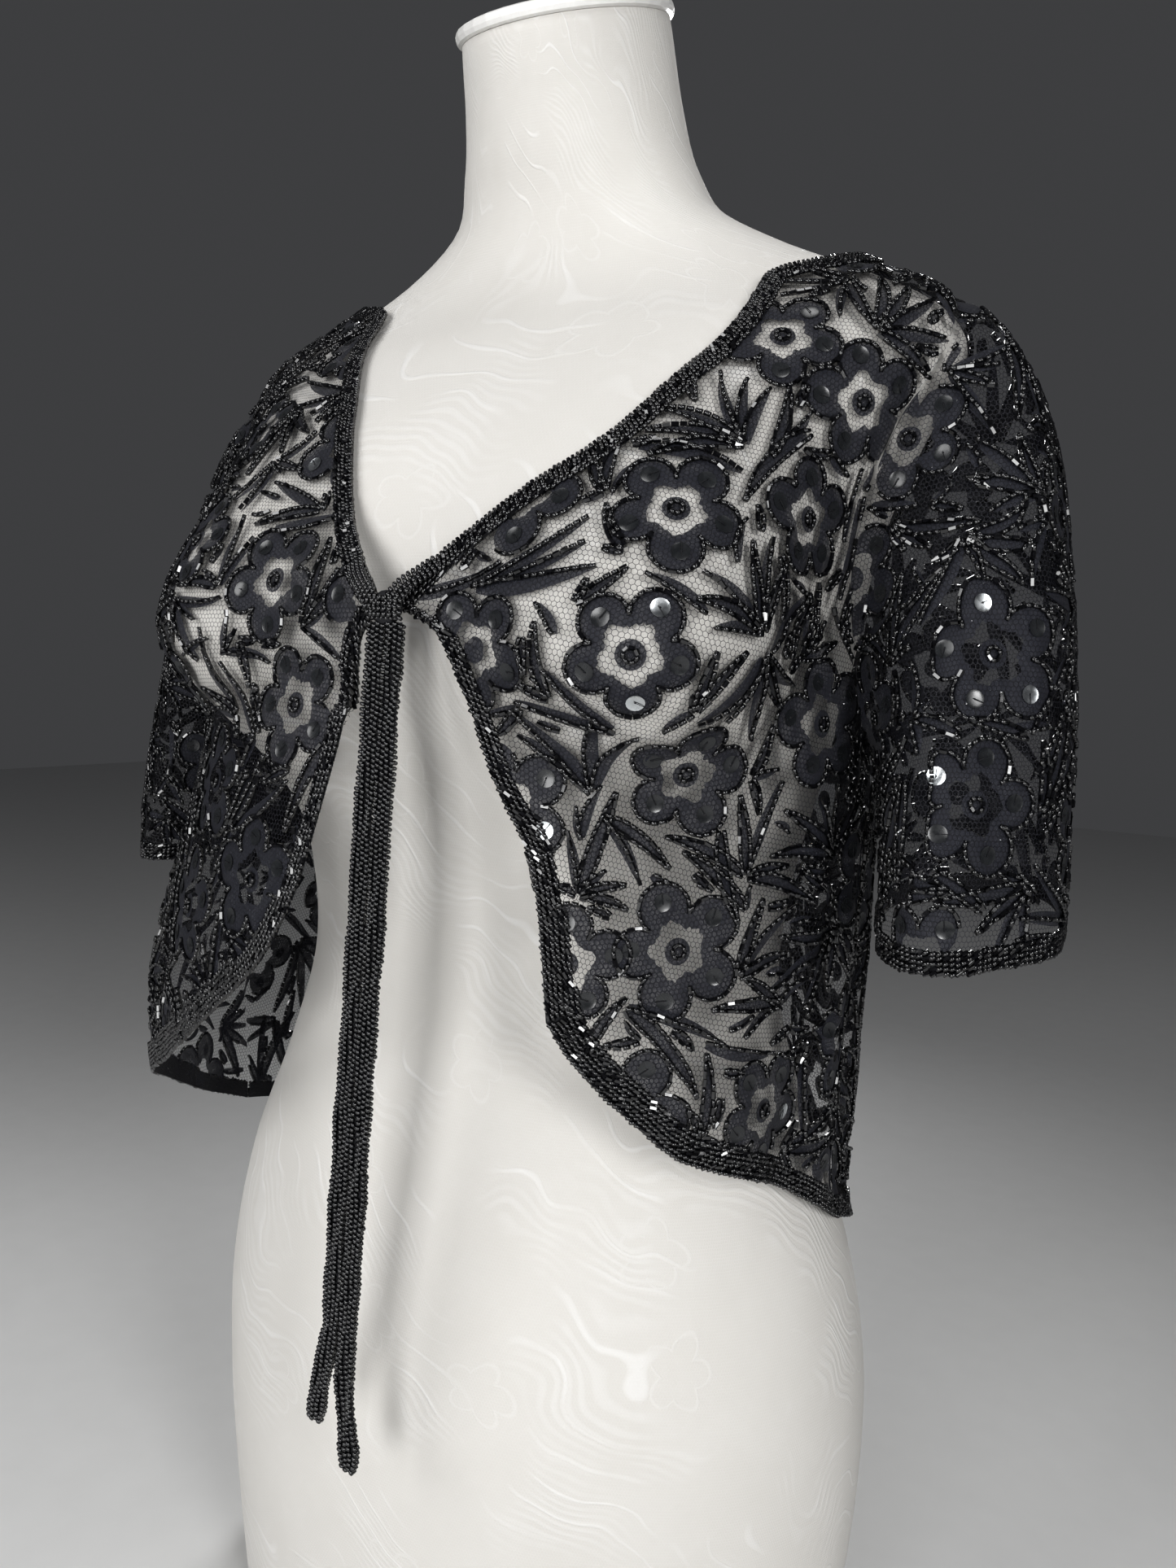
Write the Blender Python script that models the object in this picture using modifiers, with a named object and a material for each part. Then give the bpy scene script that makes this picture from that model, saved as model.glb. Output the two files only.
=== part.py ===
"""A beaded shrug worn by a limbless dress form, as solids for Blender 4.5.

Metres, +Z up. The form faces -Y and its left side is +X. The base of the form lies on z = 0.
Every surface is worked out from level sections: a turn of 0 degrees is the centre front,
90 the form's left side, 180 the centre back and -90 its right side.
"""

import math
from collections import namedtuple

import bmesh
import bpy
import numpy as np

# The form, as level sections: height, half width, depth in front, depth behind, and where its centre lies
Section = namedtuple("Section", "z half_width front back centre_y")
FORM = (
    Section(0.000, 0.163, 0.110, 0.120, 0.000),
    Section(0.060, 0.170, 0.115, 0.127, 0.000),
    Section(0.120, 0.175, 0.118, 0.131, 0.000),
    Section(0.180, 0.174, 0.118, 0.127, 0.000),
    Section(0.240, 0.162, 0.111, 0.108, 0.000),
    Section(0.300, 0.138, 0.101, 0.089, 0.000),
    Section(0.350, 0.124, 0.094, 0.081, 0.000),
    Section(0.400, 0.127, 0.096, 0.086, 0.000),
    Section(0.450, 0.138, 0.102, 0.098, 0.000),
    Section(0.500, 0.148, 0.108, 0.108, 0.000),
    Section(0.550, 0.156, 0.104, 0.113, 0.000),
    Section(0.600, 0.175, 0.090, 0.112, 0.002),
    Section(0.622, 0.187, 0.078, 0.103, 0.005),
    Section(0.640, 0.185, 0.066, 0.092, 0.008),
    Section(0.653, 0.171, 0.056, 0.081, 0.011),
    Section(0.665, 0.148, 0.049, 0.073, 0.013),
    Section(0.686, 0.103, 0.045, 0.062, 0.016),
    Section(0.704, 0.072, 0.048, 0.056, 0.016),
    Section(0.725, 0.0585, 0.0515, 0.0525, 0.009),
    Section(0.752, 0.0515, 0.0500, 0.0500, 0.000),
    Section(0.785, 0.0475, 0.0475, 0.0475, -0.010),
)
BUST_HEIGHT = 0.502
BUST_TURN = math.radians(35)
BUST_RISE = 0.056
BUST_TURN_SPREAD = math.radians(25)
BUST_SPREAD_UP = 0.085
BUST_SPREAD_DOWN = 0.055
FORM_SIDES = 44
NECK_TILT = math.radians(20)
NECK_TILT_FROM = 0.730
CAP_THICK = 0.006
CAP_OVER = 0.0025


def between(rows, column, at):
    """The column of a table of sections at these heights, as a smooth curve through its rows."""
    z = np.array([row.z for row in rows])
    value = np.array([getattr(row, column) for row in rows])
    slope = np.gradient(value, z)
    at = np.clip(np.asarray(at, float), z[0], z[-1])
    i = np.clip(np.searchsorted(z, at, side="right") - 1, 0, len(z) - 2)
    step = z[i + 1] - z[i]
    s = (at - z[i]) / step
    return (
        (1 + 2 * s) * (1 - s) ** 2 * value[i]
        + s * (1 - s) ** 2 * step * slope[i]
        + s * s * (3 - 2 * s) * value[i + 1]
        + s * s * (s - 1) * step * slope[i + 1]
    )


def form_at(turn, z):
    """Points of the form's surface, from turns in radians and heights."""
    turn, z = np.broadcast_arrays(np.asarray(turn, float), np.asarray(z, float))
    side, ahead = np.sin(turn), np.cos(turn)
    depth = np.where(ahead > 0, between(FORM, "front", z), between(FORM, "back", z))
    x = between(FORM, "half_width", z) * side
    y = -depth * ahead
    spread = np.where(z > BUST_HEIGHT, BUST_SPREAD_UP, BUST_SPREAD_DOWN)
    swell = BUST_RISE * np.exp(-(((z - BUST_HEIGHT) / spread) ** 2)) * (
        np.exp(-(((turn - BUST_TURN) / BUST_TURN_SPREAD) ** 2))
        + np.exp(-(((turn + BUST_TURN) / BUST_TURN_SPREAD) ** 2))
    )
    far = np.maximum(np.hypot(x, y), 1e-6)
    x = x * (1 + swell / far)
    y = y * (1 + swell / far) + between(FORM, "centre_y", z)
    return np.stack([x, y, z], -1)


# The cloth, where it hangs clear of the form, as level sections of its own
Hang = namedtuple("Hang", "z left right front_left front_right back")
HANG = (
    Hang(0.180, 0.151, 0.208, 0.146, 0.152, 0.140),
    Hang(0.240, 0.152, 0.209, 0.146, 0.152, 0.137),
    Hang(0.300, 0.154, 0.211, 0.145, 0.156, 0.132),
    Hang(0.360, 0.157, 0.200, 0.143, 0.160, 0.127),
    Hang(0.420, 0.160, 0.180, 0.141, 0.155, 0.123),
    Hang(0.480, 0.160, 0.167, 0.140, 0.144, 0.119),
    Hang(0.530, 0.157, 0.159, 0.138, 0.138, 0.115),
    Hang(0.580, 0.150, 0.150, 0.095, 0.095, 0.105),
    Hang(0.640, 0.110, 0.110, 0.050, 0.050, 0.070),
    Hang(0.700, 0.040, 0.040, 0.030, 0.030, 0.030),
)
CLEAR = 0.0020
SHOULDER_CLEAR = 0.0016
BACK_TIP_CLEAR = 0.0010
WALL = 0.0011
GAP = 0.0003
EDGING_GAP = 0.0007
SEAM_ROOM = 0.0008
EASE = 0.006
NORMAL_FROM = 0.560
NORMAL_TO = 0.620


def smooth_step(a, b, x):
    """0 below a, 1 above b and a smooth rise between them."""
    s = np.clip((np.asarray(x, float) - a) / (b - a), 0, 1)
    return s * s * (3 - 2 * s)


def outward(points_at, turn, z):
    """Unit normals of a surface given as a function of turn and height."""
    step = 1e-4
    along = points_at(turn + step, z) - points_at(turn - step, z)
    up = points_at(turn, z + step) - points_at(turn, z - step)
    normal = np.cross(along, up)
    return normal / np.linalg.norm(normal, axis=-1, keepdims=True)


# Soft folds of the hanging cloth, deepest at the hem: ridges stand out and troughs go in
Fold = namedtuple("Fold", "turn spread rise top")
FOLDS = (
    Fold(-72.0, 7.0, -0.0035, 0.42),
    Fold(-54.0, 8.0, 0.0045, 0.45),
    Fold(-37.0, 6.0, -0.0030, 0.40),
    Fold(38.0, 6.0, -0.0025, 0.42),
    Fold(57.0, 7.0, 0.0050, 0.47),
    Fold(70.0, 5.5, -0.0035, 0.44),
    Fold(84.0, 6.5, 0.0035, 0.43),
    Fold(103.0, 8.0, -0.0040, 0.50),
    Fold(121.0, 8.5, 0.0055, 0.52),
    Fold(141.0, 9.0, -0.0040, 0.47),
    Fold(162.0, 10.0, 0.0050, 0.50),
    Fold(185.0, 9.0, -0.0045, 0.44),
    Fold(206.0, 9.5, 0.0060, 0.49),
    Fold(229.0, 10.0, -0.0040, 0.46),
    Fold(248.0, 8.0, 0.0050, 0.50),
    Fold(268.0, 8.0, -0.0030, 0.42),
)
FOLD_FALL = 0.17


def folds_at(turn, z):
    """How far the folds move the hanging cloth out."""
    out = np.zeros(np.broadcast(turn, z).shape)
    for fold in FOLDS:
        off = (np.degrees(turn) - fold.turn + 180) % 360 - 180
        depth = 1 - smooth_step(fold.top - FOLD_FALL, fold.top, z)
        out = out + fold.rise * np.exp(-((off / fold.spread) ** 2)) * depth
    return out


def hang_radius(turn, z, polar):
    """How far the hanging cloth is from the axis, in the direction polar."""
    side, ahead = np.sin(polar), np.cos(polar)
    width = np.where(side > 0, between(HANG, "left", z), between(HANG, "right", z))
    front = np.where(side > 0, between(HANG, "front_left", z), between(HANG, "front_right", z))
    depth = np.where(ahead > 0, front, between(HANG, "back", z))
    return 1 / np.sqrt((side / width) ** 2 + (ahead / depth) ** 2) + folds_at(turn, z)


def cloth_at(turn, z, lift=0.0):
    """Points of the inside of the cloth, moved out by lift."""
    turn, z = np.broadcast_arrays(np.asarray(turn, float), np.asarray(z, float))
    base = form_at(turn, z)
    centre = between(FORM, "centre_y", z)
    x, y = base[..., 0], base[..., 1] - centre
    far = np.hypot(x, y)
    polar = np.arctan2(x, -y)
    aside = np.abs(np.degrees(turn) + 180) % 360 - 180
    aside = np.abs(aside)
    high = smooth_step(0.60, 0.64, z)
    back_tip = smooth_step(92, 108, aside) * (1 - smooth_step(125, 145, aside))
    clear = CLEAR + high * (SHOULDER_CLEAR * smooth_step(40, 75, aside) + BACK_TIP_CLEAR * back_tip)
    apart = hang_radius(turn, z, polar) - far - clear
    off = clear + (apart + np.sqrt(apart**2 + EASE**2)) / 2
    level = np.stack([x / far, y / far, np.zeros_like(x)], -1)
    square = smooth_step(NORMAL_FROM, NORMAL_TO, z)[..., None]
    way = level * (1 - square) + outward(form_at, turn, z) * square
    way = way / np.linalg.norm(way, axis=-1, keepdims=True)
    return base + way * (off + lift)[..., None]


# Each panel's edges. share runs from 0 to 1 along the edge, turn is in degrees.
Edge = namedtuple("Edge", "share turn z")
ROWS = 24
COLUMNS_FRONT = 16
COLUMNS_BACK = 32
TIE_SHARE = 11 / ROWS
UNDERARM_SHARE = 12 / ROWS
NECK_COLUMN = 6
NECK_SHARE = NECK_COLUMN / COLUMNS_BACK
UNDERARM_Z = 0.465
SHOULDER_Z = 0.649
NECK_LEFT_Z = 0.6700
NECK_RIGHT_Z = 0.6790
SIDE_HEM_LEFT_Z = 0.2570
SIDE_HEM_RIGHT_Z = 0.2270
SEAM_TURN = 0.075
BACK_HASTE = 10

# From the corner of the hem up the front edge to the tie, then along the neckline to the shoulder
OPENING_LEFT = (
    Edge(0.0000, 27.2, 0.3600),
    Edge(0.0900, 26.3, 0.3850),
    Edge(0.1800, 24.4, 0.4180),
    Edge(0.2800, 18.8, 0.4520),
    Edge(0.3700, 14.4, 0.4880),
    Edge(0.4300, 9.4, 0.5120),
    Edge(TIE_SHARE, 5.4, 0.5165),
    Edge(0.5000, 9.0, 0.5308),
    Edge(0.6000, 17.8, 0.5583),
    Edge(0.7000, 27.0, 0.5830),
    Edge(0.8000, 33.4, 0.6140),
    Edge(0.9000, 42.5, 0.6540),
    Edge(1.0000, 90.0 - SEAM_TURN, NECK_LEFT_Z),
)
OPENING_RIGHT = (
    Edge(0.0000, -27.0, 0.3215),
    Edge(0.0900, -15.9, 0.3485),
    Edge(0.1800, -8.0, 0.3740),
    Edge(0.2600, -3.2, 0.4080),
    Edge(0.3400, -0.6, 0.4550),
    Edge(0.4200, 1.0, 0.5000),
    Edge(TIE_SHARE, 3.4, 0.5165),
    Edge(0.5000, 0.6, 0.5308),
    Edge(0.6000, -7.4, 0.5583),
    Edge(0.7000, -11.4, 0.5850),
    Edge(0.8000, -17.5, 0.6200),
    Edge(0.9000, -31.0, 0.6610),
    Edge(1.0000, -90.0 + SEAM_TURN, NECK_RIGHT_Z),
)
# From the opening to the side seam
HEM_LEFT = (
    Edge(0.00, 27.2, 0.3600),
    Edge(0.08, 30.2, 0.3460),
    Edge(0.25, 39.6, 0.3190),
    Edge(0.40, 47.0, 0.3035),
    Edge(0.55, 57.0, 0.2950),
    Edge(0.75, 72.0, 0.2800),
    Edge(1.00, 90.0 - SEAM_TURN, SIDE_HEM_LEFT_Z),
)
HEM_RIGHT = (
    Edge(0.00, -27.0, 0.3215),
    Edge(0.20, -38.4, 0.3000),
    Edge(0.50, -58.0, 0.2690),
    Edge(0.75, -74.0, 0.2450),
    Edge(1.00, -90.0 + SEAM_TURN, SIDE_HEM_RIGHT_Z),
)
HEM_BACK = (
    Edge(0.00, 90.0 + SEAM_TURN, SIDE_HEM_LEFT_Z),
    Edge(0.20, 125.0, 0.2340),
    Edge(0.50, 180.0, 0.2120),
    Edge(0.80, 236.0, 0.2100),
    Edge(1.00, 270.0 - SEAM_TURN, SIDE_HEM_RIGHT_Z),
)
# The armhole from the underarm to the shoulder, as turns away from the side seam
Scye = namedtuple("Scye", "share ahead behind z")
ARMHOLE = (
    Scye(0.00, 0.0, 0.0, UNDERARM_Z),
    Scye(0.12, 7.0, 9.0, 0.4840),
    Scye(0.30, 12.0, 17.0, 0.5200),
    Scye(0.50, 14.5, 21.0, 0.5640),
    Scye(0.68, 15.0, 22.0, 0.6040),
    Scye(0.84, 12.0, 17.0, 0.6325),
    Scye(0.94, 5.0, 8.0, 0.6455),
    Scye(1.00, 0.0, 0.0, SHOULDER_Z),
)


def through(rows, column, share):
    """The column of a table of edge rows at these shares, as a curve that never overshoots its rows."""
    x = np.array([row.share for row in rows])
    y = np.array([getattr(row, column) for row in rows])
    step = np.diff(x)
    rise = np.diff(y) / step
    slope = np.zeros(len(x))
    same = rise[:-1] * rise[1:] > 0
    safe = np.where(same, rise[:-1] * rise[1:], 1)
    slope[1:-1] = np.where(same, 2 * safe / np.where(same, rise[:-1] + rise[1:], 1), 0)
    slope[0], slope[-1] = rise[0], rise[-1]
    share = np.clip(np.asarray(share, float), 0, 1)
    i = np.clip(np.searchsorted(x, share, side="right") - 1, 0, len(x) - 2)
    s = (share - x[i]) / step[i]
    return (
        (1 + 2 * s) * (1 - s) ** 2 * y[i]
        + s * (1 - s) ** 2 * step[i] * slope[i]
        + s * s * (3 - 2 * s) * y[i + 1]
        + s * s * (s - 1) * step[i] * slope[i + 1]
    )


def edge(rows, share):
    """Turn and height along an edge, as pairs."""
    return np.stack([through(rows, "turn", share), through(rows, "z", share)], -1)


def side(front, left, share):
    """The side seam and armhole of a panel, from the hem to the shoulder, as turn and height."""
    hem = SIDE_HEM_LEFT_Z if left else SIDE_HEM_RIGHT_Z
    below = np.clip(np.asarray(share, float) / UNDERARM_SHARE, 0, 1)
    above = np.clip((np.asarray(share, float) - UNDERARM_SHARE) / (1 - UNDERARM_SHARE), 0, 1)
    away = SEAM_TURN + through(ARMHOLE, "ahead" if front else "behind", above)
    z = np.where(above > 0, through(ARMHOLE, "z", above), hem + (UNDERARM_Z - hem) * below)
    turn = 90 - away if front else 90 + away
    if not left:
        turn = -turn if front else 360 - turn
    return np.stack([turn, z], -1)


def patch(start, end, bottom, top, haste=1):
    """Fills four edges, each a function of share, with turn and height at (u, v).

    With a haste of more than 1, the turns of the top edge die out sooner below it.
    """

    def at(u, v):
        u, v = np.broadcast_arrays(np.asarray(u, float), np.asarray(v, float))
        p, q = u[..., None], v[..., None]
        zero, one = np.zeros(1), np.ones(1)
        low = bottom(u) - (1 - p) * start(zero) - p * end(zero)
        high = top(u) - (1 - p) * start(one) - p * end(one)
        return (1 - p) * start(v) + p * end(v) + (1 - q) * low + q ** np.array([haste, 1]) * high

    return at


def shoulder_seam(turn, neck_z):
    """The seam from the neckline out to the shoulder."""
    return lambda u: np.stack([np.full_like(u, turn), neck_z + (SHOULDER_Z - neck_z) * u], -1)


def back_top(u):
    """The two shoulder seams of the back and the neckline between them."""
    rows = (
        Edge(0.0, 90.0 + SEAM_TURN, SHOULDER_Z),
        Edge(NECK_SHARE, 90.0 + SEAM_TURN, NECK_LEFT_Z),
        Edge(0.25, 108.0, 0.6690),
        Edge(0.34, 130.0, 0.6640),
        Edge(0.50, 180.0, 0.6560),
        Edge(0.66, 230.0, 0.6665),
        Edge(0.75, 252.0, 0.6765),
        Edge(1 - NECK_SHARE, 270.0 - SEAM_TURN, NECK_RIGHT_Z),
        Edge(1.0, 270.0 - SEAM_TURN, SHOULDER_Z),
    )
    return edge(rows, u)


PANELS = {
    "front_left": patch(
        lambda v: edge(OPENING_LEFT, v),
        lambda v: side(True, True, v),
        lambda u: edge(HEM_LEFT, u),
        shoulder_seam(90.0 - SEAM_TURN, NECK_LEFT_Z),
    ),
    "front_right": patch(
        lambda v: edge(OPENING_RIGHT, v),
        lambda v: side(True, False, v),
        lambda u: edge(HEM_RIGHT, u),
        shoulder_seam(-90.0 + SEAM_TURN, NECK_RIGHT_Z),
    ),
    "back": patch(
        lambda v: side(False, True, v),
        lambda v: side(False, False, v),
        lambda u: edge(HEM_BACK, u),
        back_top,
        haste=BACK_HASTE,
    ),
}


def panel_at(name, u, v, lift=0.0):
    """Points of a panel's inside, moved out by lift."""
    place = PANELS[name](u, v)
    return cloth_at(np.radians(place[..., 0]), place[..., 1], lift)


# Widths of the dense bead edging
NECK_BAND = 0.0095
FRONT_BAND = 0.0080
CORNER_BAND = 0.0130
HEM_BAND = 0.0090
BAND_CELLS = 2
LEAST_SQUARE = 0.5


def reach(name, u, v, du, dv):
    """How far a panel's point moves away from its edge for each whole share of u or v."""
    step = 1e-3
    moved = (panel_at(name, u + du * step, v + dv * step) - panel_at(name, u, v)) / step
    aside, up = abs(dv) * step, abs(du) * step
    along = panel_at(name, np.clip(u + aside, 0, 1), np.clip(v + up, 0, 1)) - panel_at(
        name, np.clip(u - aside, 0, 1), np.clip(v - up, 0, 1)
    )
    along = along / np.linalg.norm(along, axis=-1, keepdims=True)
    square = moved - (moved * along).sum(-1, keepdims=True) * along
    return np.maximum(np.linalg.norm(square, axis=-1), LEAST_SQUARE * np.linalg.norm(moved, axis=-1))


def panel_grid(name):
    """The shares (u, v) of a panel's grid, whose outer two cells are as wide as its edging."""
    columns = COLUMNS_BACK if name == "back" else COLUMNS_FRONT
    u = np.linspace(0, 1, columns + 1)
    v = np.interp(
        np.arange(ROWS + 1), [0, ROWS / 2 - 1, ROWS / 2, ROWS], [0, TIE_SHARE, UNDERARM_SHARE, 1]
    )
    u, v = np.meshgrid(u, v)
    low = np.arange(ROWS + 1)[:, None]
    corner = CORNER_BAND if name != "back" else HEM_BAND
    width = np.interp(u[0], [0, 0.45, 0.8], [corner, corner, HEM_BAND])
    hem = (width / reach(name, u[0], 0 * u[0], 0, 1))[None, :]
    knee = ROWS // 2 - 1
    middle = hem + (v[knee] - hem) * (low - BAND_CELLS) / (knee - BAND_CELLS)
    rows = np.where(low <= BAND_CELLS, np.minimum(low, BAND_CELLS) * hem / BAND_CELLS, middle)
    rows = np.where(low >= knee, v, rows)
    if name == "back":
        neck = (NECK_BAND / reach(name, u[0], 1 + 0 * u[0], 0, -1))[None, :]
        first = ROWS - BAND_CELLS
        half = ROWS // 2
        upper = v[half] + (1 - neck - v[half]) * (low - half) / (first - half)
        band = np.where(low >= first, 1 - neck * (ROWS - low) / BAND_CELLS, upper)
        column = np.arange(columns + 1)
        near = np.clip(np.minimum(column, columns - column) / NECK_COLUMN, 0, 1)[None, :]
        rows = np.where(low > half, v + (band - v) * near, rows)
        return u, rows
    across = np.arange(columns + 1)[None, :]
    at = v[:, 0]
    width = np.where(at > TIE_SHARE, NECK_BAND, np.interp(at, [0, 0.25], [CORNER_BAND, FRONT_BAND]))
    edge_band = (width / reach(name, 0 * at, at, 1, 0))[:, None]
    rest = edge_band + (1 - edge_band) * (across - BAND_CELLS) / (columns - BAND_CELLS)
    return np.where(across <= BAND_CELLS, across * edge_band / BAND_CELLS, rest), rows


# The sleeves. Around a sleeve, 0 is its top line, 0.25 its front, 0.5 the underarm and 0.75 its back.
Sleeve = namedtuple("Sleeve", "left x y z half_width half_depth forward_drop")
SLEEVES = {
    "sleeve_left": Sleeve(True, 0.2090, 0.000, 0.395, 0.034, 0.062, 0.006),
    "sleeve_right": Sleeve(False, -0.236, 0.012, 0.380, 0.030, 0.060, 0.004),
}
# Soft folds of a sleeve, from nothing at the armhole to full at the hem
SleeveFold = namedtuple("SleeveFold", "around spread rise")
SLEEVE_FOLDS = (
    SleeveFold(0.05, 0.034, 0.0026),
    SleeveFold(0.15, 0.040, -0.0034),
    SleeveFold(0.27, 0.046, 0.0040),
    SleeveFold(0.41, 0.042, -0.0028),
    SleeveFold(0.55, 0.050, 0.0030),
    SleeveFold(0.68, 0.044, -0.0036),
    SleeveFold(0.81, 0.050, 0.0042),
    SleeveFold(0.93, 0.034, -0.0024),
)
AROUND_SLEEVE = 24
ALONG_SLEEVE = 14
HEAD_REACH = 0.037
SIDE_REACH = 0.028
UNDER_REACH = 0.009
HEAD_DROP = 0.34
SIDE_DROP = 0.10
UNDER_DROP = 0.30
TOP_FALL = 0.170
SIDE_FALL = 0.100
UNDER_FALL = 0.045


def armhole_at(left, around, lift=0.0):
    """Points of the armhole, on the body's cloth."""
    above = np.abs(1 - 2 * np.asarray(around, float))
    front = np.asarray(around) < 0.5
    away = np.where(front, through(ARMHOLE, "ahead", above), -through(ARMHOLE, "behind", above))
    turn = np.radians(90 - away) * (1 if left else -1)
    return cloth_at(turn, through(ARMHOLE, "z", above), lift)


def by_line(around, top, sides, under):
    """A value that varies smoothly from the top line to the sides and the underarm."""
    turn = 2 * math.pi * np.asarray(around, float)
    return (top + under) / 4 + sides / 2 + (top - under) / 2 * np.cos(turn) + (
        (top + under) / 4 - sides / 2
    ) * np.cos(2 * turn)


def sleeve_folds(around):
    """How far the folds move a sleeve's hem out."""
    out = np.zeros(np.shape(around))
    for fold in SLEEVE_FOLDS:
        off = (np.asarray(around) - fold.around + 0.5) % 1 - 0.5
        out = out + fold.rise * np.exp(-((off / fold.spread) ** 2))
    return out


def sleeve_at(name, around, down):
    """Points of a sleeve's inside, from the armhole at down 0 to the hem at 1."""
    around, down = np.broadcast_arrays(np.asarray(around, float), np.asarray(down, float))
    sleeve = SLEEVES[name]
    sign = 1 if sleeve.left else -1
    seam = armhole_at(sleeve.left, around)
    normal = (armhole_at(sleeve.left, around, WALL) - seam) / WALL
    drop = by_line(around, HEAD_DROP, SIDE_DROP, UNDER_DROP)
    way = np.stack([np.full_like(drop, sign), np.zeros_like(drop), -drop], -1)
    way = way / np.linalg.norm(way, axis=-1, keepdims=True)
    across = np.maximum(0, (way * normal).sum(-1))
    first = seam + way * (SEAM_ROOM + WALL * across)[..., None]
    turn = 2 * math.pi * around
    folds = sleeve_folds(around)
    last = np.stack(
        [
            sleeve.x + sign * (sleeve.half_width + folds) * np.cos(turn),
            sleeve.y - (sleeve.half_depth + folds) * np.sin(turn),
            sleeve.z - sleeve.forward_drop * np.sin(turn),
        ],
        -1,
    )
    reach = by_line(around, HEAD_REACH, SIDE_REACH, UNDER_REACH)
    fall = by_line(around, TOP_FALL, SIDE_FALL, UNDER_FALL)
    second = first + way * reach[..., None]
    third = last + np.stack([np.zeros_like(fall), np.zeros_like(fall), fall], -1)
    s = down[..., None]
    return (
        (1 - s) ** 3 * first
        + 3 * s * (1 - s) ** 2 * second
        + 3 * s * s * (1 - s) * third
        + s**3 * last
    )


def sleeve_outward(name, around, down):
    """Unit normals of a sleeve, pointing out of it."""
    step = 1e-3
    after = np.minimum(np.asarray(down, float) + step, 1)
    before = np.maximum(np.asarray(down, float) - step, 0)
    along = sleeve_at(name, around, after) - sleeve_at(name, around, before)
    across = sleeve_at(name, (around + step) % 1, down) - sleeve_at(name, (around - step) % 1, down)
    normal = np.cross(across, along) * (1 if SLEEVES[name].left else -1)
    return normal / np.linalg.norm(normal, axis=-1, keepdims=True)


# The edging lies on the panels
BEADS_THICK = 0.0019
CUFF_BAND = 0.0090

# The ties: where each hangs from, how it narrows in, and where it forks
TIE_TOP = (0.0212, -0.1475, 0.5085)
TIE_FOOT = (0.0062, -0.1500, 0.1825)
LONGER_LEFT = 0.0150
TIE_WIDTH = 0.0082
TIE_THICK = 0.0026
FORK = 0.045
FORK_SPREAD = 0.0052
KNOT_SIZE = (0.0090, 0.0052, 0.0098)


def material(name, colour, roughness, metallic=0.0):
    made = bpy.data.materials.new(name)
    made.use_nodes = True
    shader = made.node_tree.nodes["Principled BSDF"]
    shader.inputs["Base Color"].default_value = (*colour, 1)
    shader.inputs["Roughness"].default_value = roughness
    shader.inputs["Metallic"].default_value = metallic
    return made


def node(name, mesh, look, smooth=True):
    """Makes the mesh an object of the part's collection."""
    for face in mesh.polygons:
        face.use_smooth = smooth
    obj = bpy.data.objects.new(name, mesh)
    obj.data.materials.append(look)
    bpy.data.collections["beaded_shrug"].objects.link(obj)
    return obj


def skin(name, inside, outside, look, ring=False, kept=None):
    """A wall between two grids of points of one size, on the cells that are kept.

    A ring's columns close on themselves.
    """
    rows, columns = inside.shape[:2]
    wide = columns if ring else columns - 1
    kept = np.ones((rows - 1, wide), bool) if kept is None else kept
    build = bmesh.new()
    made = {}

    def vert(layer, i, j):
        key = (layer, i, j % columns)
        if key not in made:
            made[key] = build.verts.new((inside, outside)[layer][i, j % columns])
        return made[key]

    def is_kept(i, j):
        if ring:
            j %= wide
        return 0 <= i < rows - 1 and 0 <= j < wide and kept[i, j]

    for i in range(rows - 1):
        for j in range(wide):
            if not kept[i, j]:
                continue
            corners = ((i, j), (i, j + 1), (i + 1, j + 1), (i + 1, j))
            for half in (corners[:3], (corners[0], corners[2], corners[3])):
                build.faces.new([vert(1, *corner) for corner in half])
                build.faces.new([vert(0, *corner) for corner in half[::-1]])
            beyond = ((i - 1, j), (i, j + 1), (i + 1, j), (i, j - 1))
            for a, b, cell in zip(corners, corners[1:] + corners[:1], beyond):
                if not is_kept(*cell):
                    build.faces.new([vert(0, *a), vert(0, *b), vert(1, *b), vert(1, *a)])
    if build.calc_volume(signed=True) < 0:
        bmesh.ops.reverse_faces(build, faces=build.faces)
    mesh = bpy.data.meshes.new(name)
    build.to_mesh(mesh)
    build.free()
    return node(name, mesh, look)


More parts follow.
